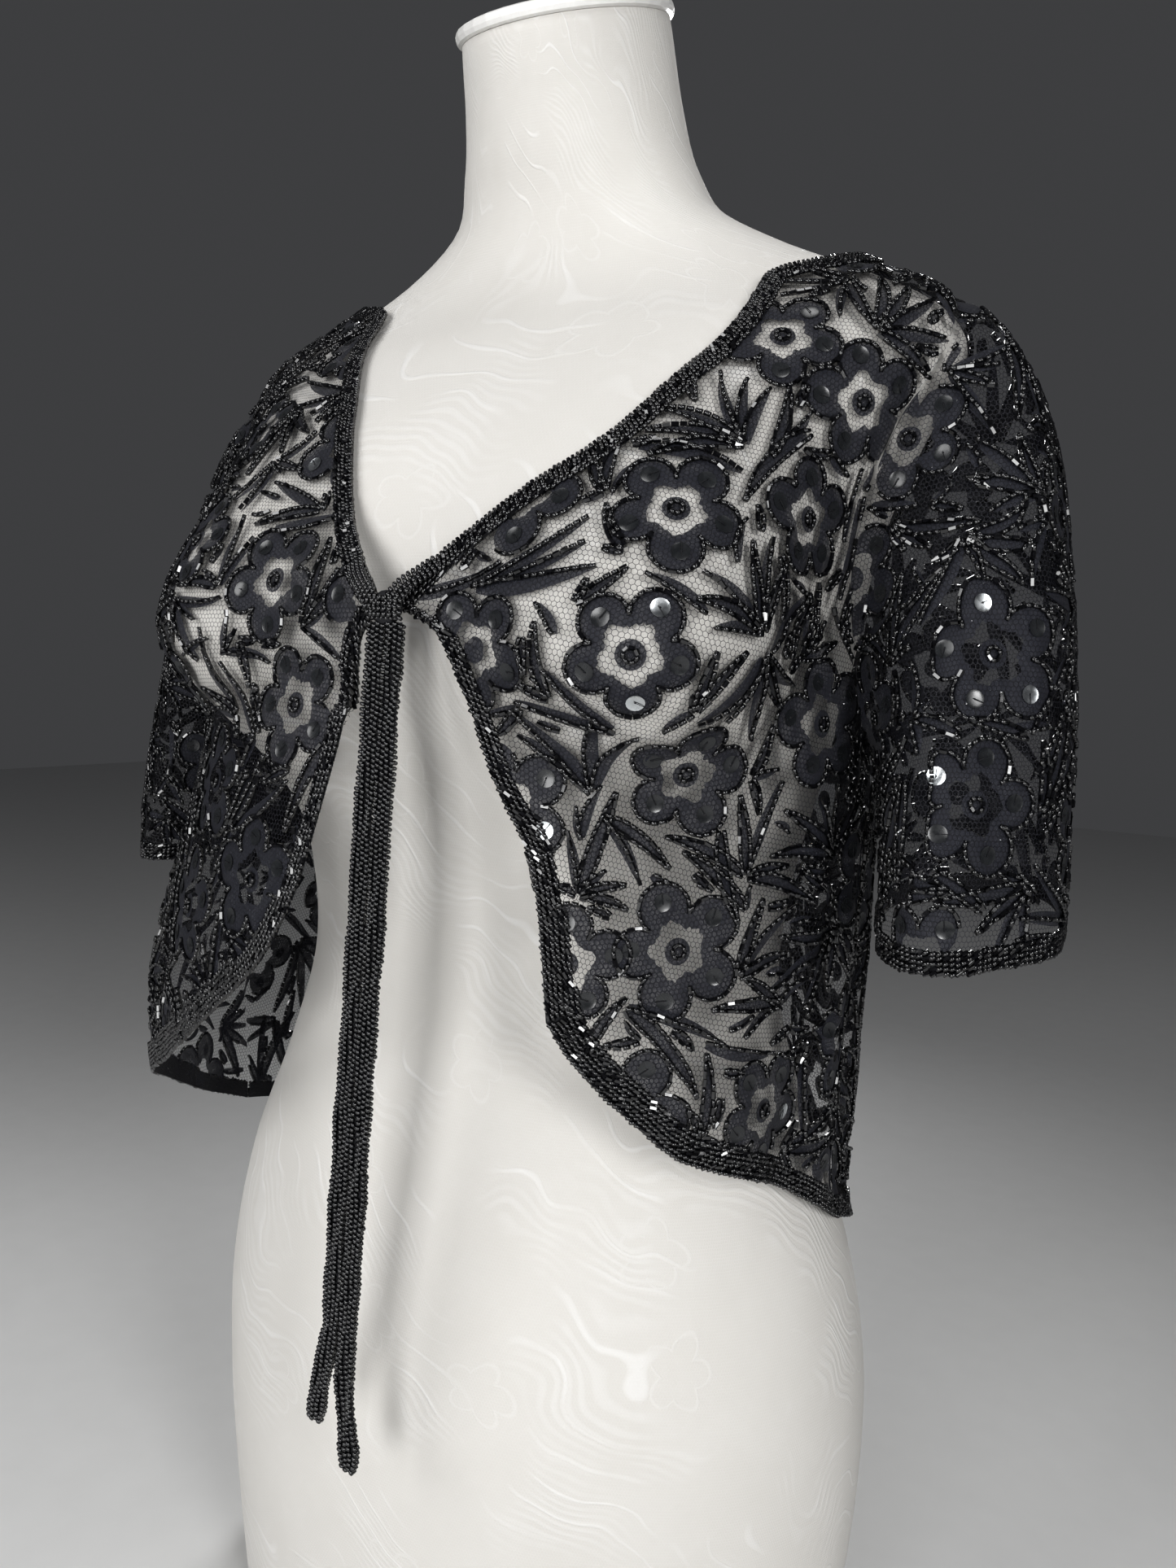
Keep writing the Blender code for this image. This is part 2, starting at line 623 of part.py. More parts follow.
def make_form(look, cap_look):
    """The torso with its neck, closed under and over, and the cap disc on the neck."""
    levels = [row.z for row in FORM]
    heights = np.unique(np.concatenate([levels, (np.array(levels[:-1]) + levels[1:]) / 2]))
    turns = np.radians(np.arange(FORM_SIDES) * 360 / FORM_SIDES)
    grid = form_at(*np.meshgrid(turns, heights))
    top = FORM[-1]
    leaned = smooth_step(NECK_TILT_FROM, top.z, grid[..., 2])
    grid[..., 2] += (grid[..., 1] - between(FORM, "centre_y", grid[..., 2])) * math.tan(NECK_TILT) * leaned
    build = bmesh.new()
    rings = [[build.verts.new(point) for point in ring] for ring in grid]
    for low, high in zip(rings, rings[1:]):
        for j in range(FORM_SIDES):
            k = (j + 1) % FORM_SIDES
            build.faces.new([low[j], low[k], high[k], high[j]])
    build.faces.new(rings[0][::-1])
    build.faces.new(rings[-1])
    bmesh.ops.recalc_face_normals(build, faces=build.faces)
    mesh = bpy.data.meshes.new("form_torso")
    build.to_mesh(mesh)
    build.free()
    node("form_torso", mesh, look)
    bpy.ops.mesh.primitive_cylinder_add(vertices=36, radius=1, depth=CAP_THICK)
    cap = bpy.context.object
    cap.name = "form_cap"
    cap.scale = (top.half_width + CAP_OVER, top.front / math.cos(NECK_TILT) + CAP_OVER, 1)
    bpy.ops.object.transform_apply(location=False, rotation=False, scale=True)
    rise = GAP + CAP_THICK / 2
    cap.location = (0, top.centre_y - rise * math.sin(NECK_TILT), top.z + rise * math.cos(NECK_TILT))
    cap.rotation_euler = (NECK_TILT, 0, 0)
    bevel = cap.modifiers.new("Rounded rim", "BEVEL")
    bevel.width = CAP_THICK * 0.4
    bevel.segments = 2
    bevel.angle_limit = math.radians(60)
    cap.data.materials.append(cap_look)
    for face in cap.data.polygons:
        face.use_smooth = len(face.vertices) == 4
    for old in cap.users_collection:
        old.objects.unlink(cap)
    bpy.data.collections["beaded_shrug"].objects.link(cap)


def make_panel(name, look):
    u, v = panel_grid(name)
    skin(name, panel_at(name, u, v), panel_at(name, u, v, WALL), look)


def make_edging(name, panel, kept, look):
    """Dense beads on some cells of a panel, made from the panel's points moved out."""
    u, v = panel_grid(panel)
    base = WALL + EDGING_GAP
    skin(name, panel_at(panel, u, v, base), panel_at(panel, u, v, base + BEADS_THICK), look, kept=kept)


def make_edgings(look):
    """The edging of the openings from shoulder to side hem, of the back neckline and of the back hem."""
    for hand in ("left", "right"):
        kept = np.zeros((ROWS, COLUMNS_FRONT), bool)
        kept[:, :BAND_CELLS] = True
        kept[:BAND_CELLS, :] = True
        make_edging("edge_front_" + hand, "front_" + hand, kept, look)
    kept = np.zeros((ROWS, COLUMNS_BACK), bool)
    kept[-BAND_CELLS:, NECK_COLUMN:-NECK_COLUMN] = True
    make_edging("edge_neck_back", "back", kept, look)
    kept = np.zeros((ROWS, COLUMNS_BACK), bool)
    kept[:BAND_CELLS, :] = True
    make_edging("hem_back", "back", kept, look)


def make_sleeve(name, look):
    around = np.arange(AROUND_SLEEVE) / AROUND_SLEEVE
    a, d = np.meshgrid(around, np.linspace(0, 1, ALONG_SLEEVE + 1))
    inside = sleeve_at(name, a, d)
    skin(name, inside, inside + sleeve_outward(name, a, d) * WALL, look, ring=True)


def make_cuff(name, sleeve, look):
    """The edging round a sleeve's hem."""
    around = np.arange(AROUND_SLEEVE) / AROUND_SLEEVE
    a, d = np.meshgrid(around, (1 - 2 * CUFF_BAND / 0.30, 1 - CUFF_BAND / 0.30, 1.0))
    base = sleeve_at(sleeve, a, d)
    normal = sleeve_outward(sleeve, a, d)
    skin(name, base + normal * (WALL + GAP), base + normal * (WALL + GAP + BEADS_THICK), look, ring=True)


def make_tie(name, side_sign, look):
    """One tie: a flat strip of bead rows that hangs from the knot and parts from its twin at the end."""
    top, foot = np.array(TIE_TOP), np.array(TIE_FOOT)
    if side_sign > 0:
        foot = foot + (foot - top) * LONGER_LEFT / np.linalg.norm(foot - top)
    share = np.linspace(0, 1, 25)
    line = top + (foot - top) * share[:, None]
    length = np.linalg.norm(foot - top)
    apart = smooth_step(1 - FORK / length, 1, share)
    line[:, 0] += side_sign * ((TIE_WIDTH + GAP) / 2 + 0.0002 + apart * FORK_SPREAD)
    half = TIE_WIDTH / 2 * (1 - 0.25 * smooth_step(0.96, 1, share))
    left, right = line.copy(), line.copy()
    left[:, 0] -= half
    right[:, 0] += half
    behind = np.stack([left, line, right], 1)
    ahead = behind - np.array([0, TIE_THICK, 0])
    skin(name, behind, ahead, look)


def make_knot(look):
    bpy.ops.mesh.primitive_uv_sphere_add(segments=20, ring_count=12, radius=1)
    knot = bpy.context.object
    knot.name = "tie_knot"
    knot.scale = KNOT_SIZE
    knot.location = (TIE_TOP[0], TIE_TOP[1] - TIE_THICK, TIE_TOP[2] + KNOT_SIZE[2])
    bpy.ops.object.transform_apply(location=False, rotation=False, scale=True)
    knot.data.materials.append(look)
    for face in knot.data.polygons:
        face.use_smooth = True
    for old in knot.users_collection:
        old.objects.unlink(knot)
    bpy.data.collections["beaded_shrug"].objects.link(knot)


def main():
    for old in list(bpy.data.objects):
        bpy.data.objects.remove(old, do_unlink=True)
    home = bpy.data.collections.new("beaded_shrug")
    bpy.context.scene.collection.children.link(home)
    cover = material("Ivory form cover", (0.86, 0.84, 0.80), 0.75)
    white = material("White cap", (0.90, 0.90, 0.90), 0.45)
    lace = material("Black beaded net", (0.018, 0.018, 0.026), 0.55)
    beads = material("Black glass beads", (0.008, 0.008, 0.010), 0.12)
    make_form(cover, white)
    for name in PANELS:
        make_panel(name, lace)
    for name in SLEEVES:
        make_sleeve(name, lace)
    make_edgings(beads)
    make_cuff("cuff_left", "sleeve_left", beads)
    make_cuff("cuff_right", "sleeve_right", beads)
    make_tie("tie_left", 1, beads)
    make_tie("tie_right", -1, beads)
    make_knot(beads)


if __name__ == "__main__":
    main()
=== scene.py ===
"""Looks of a beaded shrug on its limbless dress form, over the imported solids.

Metres, +Z up. The form faces -Y and its left side is +X.
"""

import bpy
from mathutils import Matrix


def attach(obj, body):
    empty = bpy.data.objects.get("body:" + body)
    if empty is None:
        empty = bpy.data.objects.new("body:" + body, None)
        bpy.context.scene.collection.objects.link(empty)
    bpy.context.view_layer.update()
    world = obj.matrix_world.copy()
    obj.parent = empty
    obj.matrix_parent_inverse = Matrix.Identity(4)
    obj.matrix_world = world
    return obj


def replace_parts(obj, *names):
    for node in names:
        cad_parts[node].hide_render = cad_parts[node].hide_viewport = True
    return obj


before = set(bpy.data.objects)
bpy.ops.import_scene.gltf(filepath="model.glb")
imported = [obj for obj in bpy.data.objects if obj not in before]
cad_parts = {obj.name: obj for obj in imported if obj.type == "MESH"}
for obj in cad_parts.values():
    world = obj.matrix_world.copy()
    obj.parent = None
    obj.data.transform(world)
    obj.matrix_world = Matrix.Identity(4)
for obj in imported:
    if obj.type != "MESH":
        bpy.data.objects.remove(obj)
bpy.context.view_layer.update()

import math
from collections import namedtuple

import bmesh
import bpy
import numpy as np
from mathutils import Matrix


def rows_of(kind, *rows):
    """A table, from its rows of plain values."""
    return tuple(kind(*row) for row in rows)


def unit(vectors, least=0.0):
    """Vectors made one long. A least length keeps those of no length from going wrong."""
    return vectors / np.maximum(np.linalg.norm(vectors, axis=-1, keepdims=True), least)


def smooth_step(a, b, x):
    """0 below a, 1 above b and a smooth rise between them."""
    s = np.clip((np.asarray(x, float) - a) / (b - a), 0, 1)
    return s * s * (3 - 2 * s)


def curve(x, y, slope, at):
    """A smooth curve through the points (x, y) with these slopes, at these x."""
    at = np.clip(np.asarray(at, float), x[0], x[-1])
    i = np.clip(np.searchsorted(x, at, side="right") - 1, 0, len(x) - 2)
    step = x[i + 1] - x[i]
    s = (at - x[i]) / step
    return (
        (1 + 2 * s) * (1 - s) ** 2 * y[i]
        + s * (1 - s) ** 2 * step * slope[i]
        + s * s * (3 - 2 * s) * y[i + 1]
        + s * s * (s - 1) * step * slope[i + 1]
    )


def bezier(s, first, second, third, last):
    """Points of a curve with two end points and two that pull it."""
    return (1 - s) ** 3 * first + 3 * s * (1 - s) ** 2 * second + 3 * s * s * (1 - s) * third + s**3 * last


def rotated(first, second, angle):
    """Two directions square to each other, both turned from the first towards the second."""
    return first * np.cos(angle) + second * np.sin(angle), second * np.cos(angle) - first * np.sin(angle)


# The form, as level sections: height, half width, depth in front, depth behind, and where its centre lies
Section = namedtuple("Section", "z half_width front back centre_y")
FORM = rows_of(
    Section,
    (0.0, 0.163, 0.11, 0.12, 0.0),
    (0.06, 0.17, 0.115, 0.127, 0.0),
    (0.12, 0.175, 0.118, 0.131, 0.0),
    (0.18, 0.174, 0.118, 0.127, 0.0),
    (0.24, 0.162, 0.111, 0.108, 0.0),
    (0.3, 0.138, 0.101, 0.089, 0.0),
    (0.35, 0.124, 0.094, 0.081, 0.0),
    (0.4, 0.127, 0.096, 0.086, 0.0),
    (0.45, 0.138, 0.102, 0.098, 0.0),
    (0.5, 0.148, 0.108, 0.108, 0.0),
    (0.55, 0.156, 0.104, 0.113, 0.0),
    (0.6, 0.175, 0.09, 0.112, 0.002),
    (0.622, 0.187, 0.078, 0.103, 0.005),
    (0.64, 0.185, 0.066, 0.092, 0.008),
    (0.653, 0.171, 0.056, 0.081, 0.011),
    (0.665, 0.148, 0.049, 0.073, 0.013),
    (0.686, 0.103, 0.045, 0.062, 0.016),
    (0.704, 0.072, 0.048, 0.056, 0.016),
    (0.725, 0.0585, 0.0515, 0.0525, 0.009),
    (0.752, 0.0515, 0.05, 0.05, 0.0),
    (0.785, 0.0475, 0.0475, 0.0475, -0.01),
)
BUST_HEIGHT = 0.502
BUST_TURN = math.radians(35)
BUST_RISE = 0.056
BUST_TURN_SPREAD = math.radians(25)
BUST_SPREAD_UP = 0.085
BUST_SPREAD_DOWN = 0.055
NECK_TILT = math.radians(20)
NECK_TILT_FROM = 0.730


def between(rows, column, at):
    """The column of a table of sections at these heights, as a smooth curve through its rows."""
    z = np.array([row.z for row in rows])
    value = np.array([getattr(row, column) for row in rows])
    return curve(z, value, np.gradient(value, z), at)


def form_at(turn, z):
    """Points of the form's surface, from turns in radians and heights."""
    turn, z = np.broadcast_arrays(np.asarray(turn, float), np.asarray(z, float))
    side, ahead = np.sin(turn), np.cos(turn)
    depth = np.where(ahead > 0, between(FORM, "front", z), between(FORM, "back", z))
    x = between(FORM, "half_width", z) * side
    y = -depth * ahead
    spread = np.where(z > BUST_HEIGHT, BUST_SPREAD_UP, BUST_SPREAD_DOWN)
    swell = BUST_RISE * np.exp(-(((z - BUST_HEIGHT) / spread) ** 2)) * (
        np.exp(-(((turn - BUST_TURN) / BUST_TURN_SPREAD) ** 2))
        + np.exp(-(((turn + BUST_TURN) / BUST_TURN_SPREAD) ** 2))
    )
    far = np.maximum(np.hypot(x, y), 1e-6)
    x = x * (1 + swell / far)
    y = y * (1 + swell / far) + between(FORM, "centre_y", z)
    return np.stack([x, y, z], -1)


# The cloth, where it hangs clear of the form, as level sections of its own
Hang = namedtuple("Hang", "z left right front_left front_right back")
HANG = rows_of(
    Hang,
    (0.18, 0.151, 0.208, 0.146, 0.152, 0.14),
    (0.24, 0.152, 0.209, 0.146, 0.152, 0.137),
    (0.3, 0.154, 0.211, 0.145, 0.156, 0.132),
    (0.36, 0.157, 0.2, 0.143, 0.16, 0.127),
    (0.42, 0.16, 0.18, 0.141, 0.155, 0.123),
    (0.48, 0.16, 0.167, 0.14, 0.144, 0.119),
    (0.53, 0.157, 0.159, 0.138, 0.138, 0.115),
    (0.58, 0.15, 0.15, 0.095, 0.095, 0.105),
    (0.64, 0.11, 0.11, 0.05, 0.05, 0.07),
    (0.7, 0.04, 0.04, 0.03, 0.03, 0.03),
)
CLEAR = 0.0020
SHOULDER_CLEAR = 0.0016
BACK_TIP_CLEAR = 0.0010
WALL = 0.0011
SEAM_ROOM = 0.0008
EASE = 0.006
# Heights and turns between which the cloth passes from hanging to lying on the shoulders
NORMAL_FROM = 0.560
NORMAL_TO = 0.620
SHOULDER_LEVELS = (0.60, 0.64)
SHOULDER_TURNS = (40, 75)
BACK_TIP_FROM = (92, 108)
BACK_TIP_TO = (125, 145)


def outward(points_at, turn, z):
    """Unit normals of a surface given as a function of turn and height."""
    step = 1e-4
    along = points_at(turn + step, z) - points_at(turn - step, z)
    up = points_at(turn, z + step) - points_at(turn, z - step)
    return unit(np.cross(along, up))


# Soft folds of the hanging cloth, deepest at the hem: ridges stand out and troughs go in
Fold = namedtuple("Fold", "turn spread rise top")
FOLDS = rows_of(
    Fold,
    (-72.0, 7.0, -0.0035, 0.42),
    (-54.0, 8.0, 0.0045, 0.45),
    (-37.0, 6.0, -0.003, 0.4),
    (38.0, 6.0, -0.0025, 0.42),
    (57.0, 7.0, 0.005, 0.47),
    (70.0, 5.5, -0.0035, 0.44),
    (84.0, 6.5, 0.0035, 0.43),
    (103.0, 8.0, -0.004, 0.5),
    (121.0, 8.5, 0.0055, 0.52),
    (141.0, 9.0, -0.004, 0.47),
    (162.0, 10.0, 0.005, 0.5),
    (185.0, 9.0, -0.0045, 0.44),
    (206.0, 9.5, 0.006, 0.49),
    (229.0, 10.0, -0.004, 0.46),
    (248.0, 8.0, 0.005, 0.5),
    (268.0, 8.0, -0.003, 0.42),
)
FOLD_FALL = 0.17


def folds_at(turn, z):
    """How far the folds move the hanging cloth out."""
    out = np.zeros(np.broadcast(turn, z).shape)
    for fold in FOLDS:
        off = (np.degrees(turn) - fold.turn + 180) % 360 - 180
        depth = 1 - smooth_step(fold.top - FOLD_FALL, fold.top, z)
        out = out + fold.rise * np.exp(-((off / fold.spread) ** 2)) * depth
    return out


def hang_radius(turn, z, polar):
    """How far the hanging cloth is from the axis, in the direction polar."""
    side, ahead = np.sin(polar), np.cos(polar)
    width = np.where(side > 0, between(HANG, "left", z), between(HANG, "right", z))
    front = np.where(side > 0, between(HANG, "front_left", z), between(HANG, "front_right", z))
    depth = np.where(ahead > 0, front, between(HANG, "back", z))
    return 1 / np.sqrt((side / width) ** 2 + (ahead / depth) ** 2) + folds_at(turn, z)


def cloth_at(turn, z, lift=0.0):
    """Points of the inside of the cloth, moved out by lift."""
    turn, z = np.broadcast_arrays(np.asarray(turn, float), np.asarray(z, float))
    base = form_at(turn, z)
    centre = between(FORM, "centre_y", z)
    x, y = base[..., 0], base[..., 1] - centre
    far = np.hypot(x, y)
    polar = np.arctan2(x, -y)
    aside = np.abs(np.abs(np.degrees(turn) + 180) % 360 - 180)
    back_tip = smooth_step(*BACK_TIP_FROM, aside) * (1 - smooth_step(*BACK_TIP_TO, aside))
    shoulder = SHOULDER_CLEAR * smooth_step(*SHOULDER_TURNS, aside) + BACK_TIP_CLEAR * back_tip
    clear = CLEAR + smooth_step(*SHOULDER_LEVELS, z) * shoulder
    apart = hang_radius(turn, z, polar) - far - clear
    off = clear + (apart + np.sqrt(apart**2 + EASE**2)) / 2
    level = np.stack([x / far, y / far, np.zeros_like(x)], -1)
    square = smooth_step(NORMAL_FROM, NORMAL_TO, z)[..., None]
    way = unit(level * (1 - square) + outward(form_at, turn, z) * square)
    return base + way * (off + lift)[..., None]


# Each panel's edges. share runs from 0 to 1 along the edge, turn is in degrees.
Edge = namedtuple("Edge", "share turn z")
ROWS = 24
COLUMNS_BACK = 32
TIE_SHARE = 11 / ROWS
UNDERARM_SHARE = 12 / ROWS
NECK_COLUMN = 6
NECK_SHARE = NECK_COLUMN / COLUMNS_BACK
UNDERARM_Z = 0.465
SHOULDER_Z = 0.649
NECK_LEFT_Z = 0.6700
NECK_RIGHT_Z = 0.6790
SIDE_HEM_LEFT_Z = 0.2570
SIDE_HEM_RIGHT_Z = 0.2270
SEAM_TURN = 0.075
BACK_HASTE = 10

# From the corner of the hem up the front edge to the tie, then along the neckline to the shoulder
OPENING_LEFT = rows_of(
    Edge,
    (0.0, 27.2, 0.36),
    (0.09, 26.3, 0.385),
    (0.18, 24.4, 0.418),
    (0.28, 18.8, 0.452),
    (0.37, 14.4, 0.488),
    (0.43, 9.4, 0.512),
    (TIE_SHARE, 5.4, 0.5165),
    (0.5, 9.0, 0.5308),
    (0.6, 17.8, 0.5583),
    (0.7, 27.0, 0.583),
    (0.8, 33.4, 0.614),
    (0.9, 42.5, 0.654),
    (1.0, 90.0 - SEAM_TURN, NECK_LEFT_Z),
)
OPENING_RIGHT = rows_of(
    Edge,
    (0.0, -27.0, 0.3215),
    (0.09, -15.9, 0.3485),
    (0.18, -8.0, 0.374),
    (0.26, -3.2, 0.408),
    (0.34, -0.6, 0.455),
    (0.42, 1.0, 0.5),
    (TIE_SHARE, 3.4, 0.5165),
    (0.5, 0.6, 0.5308),
    (0.6, -7.4, 0.5583),
    (0.7, -11.4, 0.585),
    (0.8, -17.5, 0.62),
    (0.9, -31.0, 0.661),
    (1.0, -90.0 + SEAM_TURN, NECK_RIGHT_Z),
)
# From the opening to the side seam
HEM_LEFT = rows_of(
    Edge,
    (0.0, 27.2, 0.36),
    (0.08, 30.2, 0.346),
    (0.25, 39.6, 0.319),
    (0.4, 47.0, 0.3035),
    (0.55, 57.0, 0.295),
    (0.75, 72.0, 0.28),
    (1.0, 90.0 - SEAM_TURN, SIDE_HEM_LEFT_Z),
)
HEM_RIGHT = rows_of(
    Edge,
    (0.0, -27.0, 0.3215),
    (0.2, -38.4, 0.3),
    (0.5, -58.0, 0.269),
    (0.75, -74.0, 0.245),
    (1.0, -90.0 + SEAM_TURN, SIDE_HEM_RIGHT_Z),
)
HEM_BACK = rows_of(
    Edge,
    (0.0, 90.0 + SEAM_TURN, SIDE_HEM_LEFT_Z),
    (0.2, 125.0, 0.234),
    (0.5, 180.0, 0.212),
    (0.8, 236.0, 0.21),
    (1.0, 270.0 - SEAM_TURN, SIDE_HEM_RIGHT_Z),
)
# The armhole from the underarm to the shoulder, as turns away from the side seam
Scye = namedtuple("Scye", "share ahead behind z")
ARMHOLE = rows_of(
    Scye,
    (0.0, 0.0, 0.0, UNDERARM_Z),
    (0.12, 7.0, 9.0, 0.484),
    (0.3, 12.0, 17.0, 0.52),
    (0.5, 14.5, 21.0, 0.564),
    (0.68, 15.0, 22.0, 0.604),
    (0.84, 12.0, 17.0, 0.6325),
    (0.94, 5.0, 8.0, 0.6455),
    (1.0, 0.0, 0.0, SHOULDER_Z),
)


def through(rows, column, share):
    """The column of a table of edge rows at these shares, as a curve that never overshoots its rows."""
    x = np.array([row.share for row in rows])
    y = np.array([getattr(row, column) for row in rows])
    rise = np.diff(y) / np.diff(x)
    same = rise[:-1] * rise[1:] > 0
    safe = np.where(same, rise[:-1] * rise[1:], 1)
    inner = np.where(same, 2 * safe / np.where(same, rise[:-1] + rise[1:], 1), 0)
    return curve(x, y, np.concatenate([rise[:1], inner, rise[-1:]]), share)


def edge(rows, share):
    """Turn and height along an edge, as pairs."""
    return np.stack([through(rows, "turn", share), through(rows, "z", share)], -1)


def side(front, left, share):
    """The side seam and armhole of a panel, from the hem to the shoulder, as turn and height."""
    hem = SIDE_HEM_LEFT_Z if left else SIDE_HEM_RIGHT_Z
    share = np.asarray(share, float)
    below = np.clip(share / UNDERARM_SHARE, 0, 1)
    above = np.clip((share - UNDERARM_SHARE) / (1 - UNDERARM_SHARE), 0, 1)
    away = SEAM_TURN + through(ARMHOLE, "ahead" if front else "behind", above)
    z = np.where(above > 0, through(ARMHOLE, "z", above), hem + (UNDERARM_Z - hem) * below)
    turn = 90 - away if front else 90 + away
    if not left:
        turn = -turn if front else 360 - turn
    return np.stack([turn, z], -1)


def patch(start, end, bottom, top, haste=1):
    """Fills four edges, each a function of share, with turn and height at (u, v).

    With a haste of more than 1, the turns of the top edge die out sooner below it.
    """

    def at(u, v):
        u, v = np.broadcast_arrays(np.asarray(u, float), np.asarray(v, float))
        p, q = u[..., None], v[..., None]
        zero, one = np.zeros(1), np.ones(1)
        low = bottom(u) - (1 - p) * start(zero) - p * end(zero)
        high = top(u) - (1 - p) * start(one) - p * end(one)
        return (1 - p) * start(v) + p * end(v) + (1 - q) * low + q ** np.array([haste, 1]) * high

    return at


def shoulder_seam(turn, neck_z):
    """The seam from the neckline out to the shoulder."""
    return lambda u: np.stack([np.full_like(u, turn), neck_z + (SHOULDER_Z - neck_z) * u], -1)


def back_top(u):
    """The two shoulder seams of the back and the neckline between them."""
    rows = rows_of(
        Edge,
        (0.0, 90.0 + SEAM_TURN, SHOULDER_Z),
        (NECK_SHARE, 90.0 + SEAM_TURN, NECK_LEFT_Z),
        (0.25, 108.0, 0.669),
        (0.34, 130.0, 0.664),
        (0.5, 180.0, 0.656),
        (0.66, 230.0, 0.6665),
        (0.75, 252.0, 0.6765),
        (1 - NECK_SHARE, 270.0 - SEAM_TURN, NECK_RIGHT_Z),
        (1.0, 270.0 - SEAM_TURN, SHOULDER_Z),
    )
    return edge(rows, u)


def along_edge(rows):
    """An edge as a function of share."""
    return lambda share: edge(rows, share)


def along_side(front, left):
    """A side seam and armhole as a function of share."""
    return lambda share: side(front, left, share)


PANELS = {
    "front_left": patch(
        along_edge(OPENING_LEFT),
        along_side(True, True),
        along_edge(HEM_LEFT),
        shoulder_seam(90.0 - SEAM_TURN, NECK_LEFT_Z),
    ),
    "front_right": patch(
        along_edge(OPENING_RIGHT),
        along_side(True, False),
        along_edge(HEM_RIGHT),
        shoulder_seam(-90.0 + SEAM_TURN, NECK_RIGHT_Z),
    ),
    "back": patch(
        along_side(False, True),
        along_side(False, False),
        along_edge(HEM_BACK),
        back_top,
        BACK_HASTE,
    ),
}


def panel_at(name, u, v, lift=0.0):
    """Points of a panel's inside, moved out by lift."""
    place = PANELS[name](u, v)
    return cloth_at(np.radians(place[..., 0]), place[..., 1], lift)


# The sleeves. Around a sleeve, 0 is its top line, 0.25 its front, 0.5 the underarm and 0.75 its back.
Sleeve = namedtuple("Sleeve", "left x y z half_width half_depth forward_drop")
SLEEVES = {
    "sleeve_left": Sleeve(True, 0.209, 0.0, 0.395, 0.034, 0.062, 0.006),
    "sleeve_right": Sleeve(False, -0.236, 0.012, 0.38, 0.03, 0.06, 0.004),
}
# Soft folds of a sleeve, from nothing at the armhole to full at the hem
SleeveFold = namedtuple("SleeveFold", "around spread rise")
SLEEVE_FOLDS = rows_of(
    SleeveFold,
    (0.05, 0.034, 0.0026),
    (0.15, 0.04, -0.0034),
    (0.27, 0.046, 0.004),
    (0.41, 0.042, -0.0028),
    (0.55, 0.05, 0.003),
    (0.68, 0.044, -0.0036),
    (0.81, 0.05, 0.0042),
    (0.93, 0.034, -0.0024),
)
HEAD_REACH = 0.037
SIDE_REACH = 0.028
UNDER_REACH = 0.009
HEAD_DROP = 0.34
SIDE_DROP = 0.10
UNDER_DROP = 0.30
TOP_FALL = 0.170
SIDE_FALL = 0.100
UNDER_FALL = 0.045


def armhole_at(left, around, lift=0.0):
    """Points of the armhole, on the body's cloth."""
    above = np.abs(1 - 2 * np.asarray(around, float))
    front = np.asarray(around) < 0.5
    away = np.where(front, through(ARMHOLE, "ahead", above), -through(ARMHOLE, "behind", above))
    turn = np.radians(90 - away) * (1 if left else -1)
    return cloth_at(turn, through(ARMHOLE, "z", above), lift)


def by_line(around, top, sides, under):
    """A value that varies smoothly from the top line to the sides and the underarm."""
    turn = 2 * math.pi * np.asarray(around, float)
    return (top + under) / 4 + sides / 2 + (top - under) / 2 * np.cos(turn) + (
        (top + under) / 4 - sides / 2
    ) * np.cos(2 * turn)


def sleeve_folds(around):
    """How far the folds move a sleeve's hem out."""
    out = np.zeros(np.shape(around))
    for fold in SLEEVE_FOLDS:
        off = (np.asarray(around) - fold.around + 0.5) % 1 - 0.5
        out = out + fold.rise * np.exp(-((off / fold.spread) ** 2))
    return out


def sleeve_at(name, around, down):
    """Points of a sleeve's inside, from the armhole at down 0 to the hem at 1."""
    around, down = np.broadcast_arrays(np.asarray(around, float), np.asarray(down, float))
    sleeve = SLEEVES[name]
    sign = 1 if sleeve.left else -1
    seam = armhole_at(sleeve.left, around)
    normal = (armhole_at(sleeve.left, around, WALL) - seam) / WALL
    drop = by_line(around, HEAD_DROP, SIDE_DROP, UNDER_DROP)
    way = unit(np.stack([np.full_like(drop, sign), np.zeros_like(drop), -drop], -1))
    across = np.maximum(0, (way * normal).sum(-1))
    first = seam + way * (SEAM_ROOM + WALL * across)[..., None]
    turn = 2 * math.pi * around
    folds = sleeve_folds(around)
    last = np.stack(
        [
            sleeve.x + sign * (sleeve.half_width + folds) * np.cos(turn),
            sleeve.y - (sleeve.half_depth + folds) * np.sin(turn),
            sleeve.z - sleeve.forward_drop * np.sin(turn),
        ],
        -1,
    )
    reach = by_line(around, HEAD_REACH, SIDE_REACH, UNDER_REACH)
    fall = by_line(around, TOP_FALL, SIDE_FALL, UNDER_FALL)
    second = first + way * reach[..., None]
    third = last + np.stack([np.zeros_like(fall), np.zeros_like(fall), fall], -1)
    return bezier(down[..., None], first, second, third, last)


def sleeve_outward(name, around, down):
    """Unit normals of a sleeve, pointing out of it."""
    step = 1e-3
    after, before = np.minimum(down + step, 1), np.maximum(down - step, 0)
    along = sleeve_at(name, around, after) - sleeve_at(name, around, before)
    across = sleeve_at(name, (around + step) % 1, down) - sleeve_at(name, (around - step) % 1, down)
    return unit(np.cross(across, along) * (1 if SLEEVES[name].left else -1))


# The ties: where each hangs from, how it narrows in, and where it forks
TIE_TOP = (0.0212, -0.1475, 0.5085)
TIE_FOOT = (0.0062, -0.1500, 0.1825)
LONGER_LEFT = 0.0150
TIE_WIDTH = 0.0082
TIE_THICK = 0.0026
FORK = 0.045
FORK_SPREAD = 0.0052
KNOT_SIZE = (0.0090, 0.0052, 0.0098)


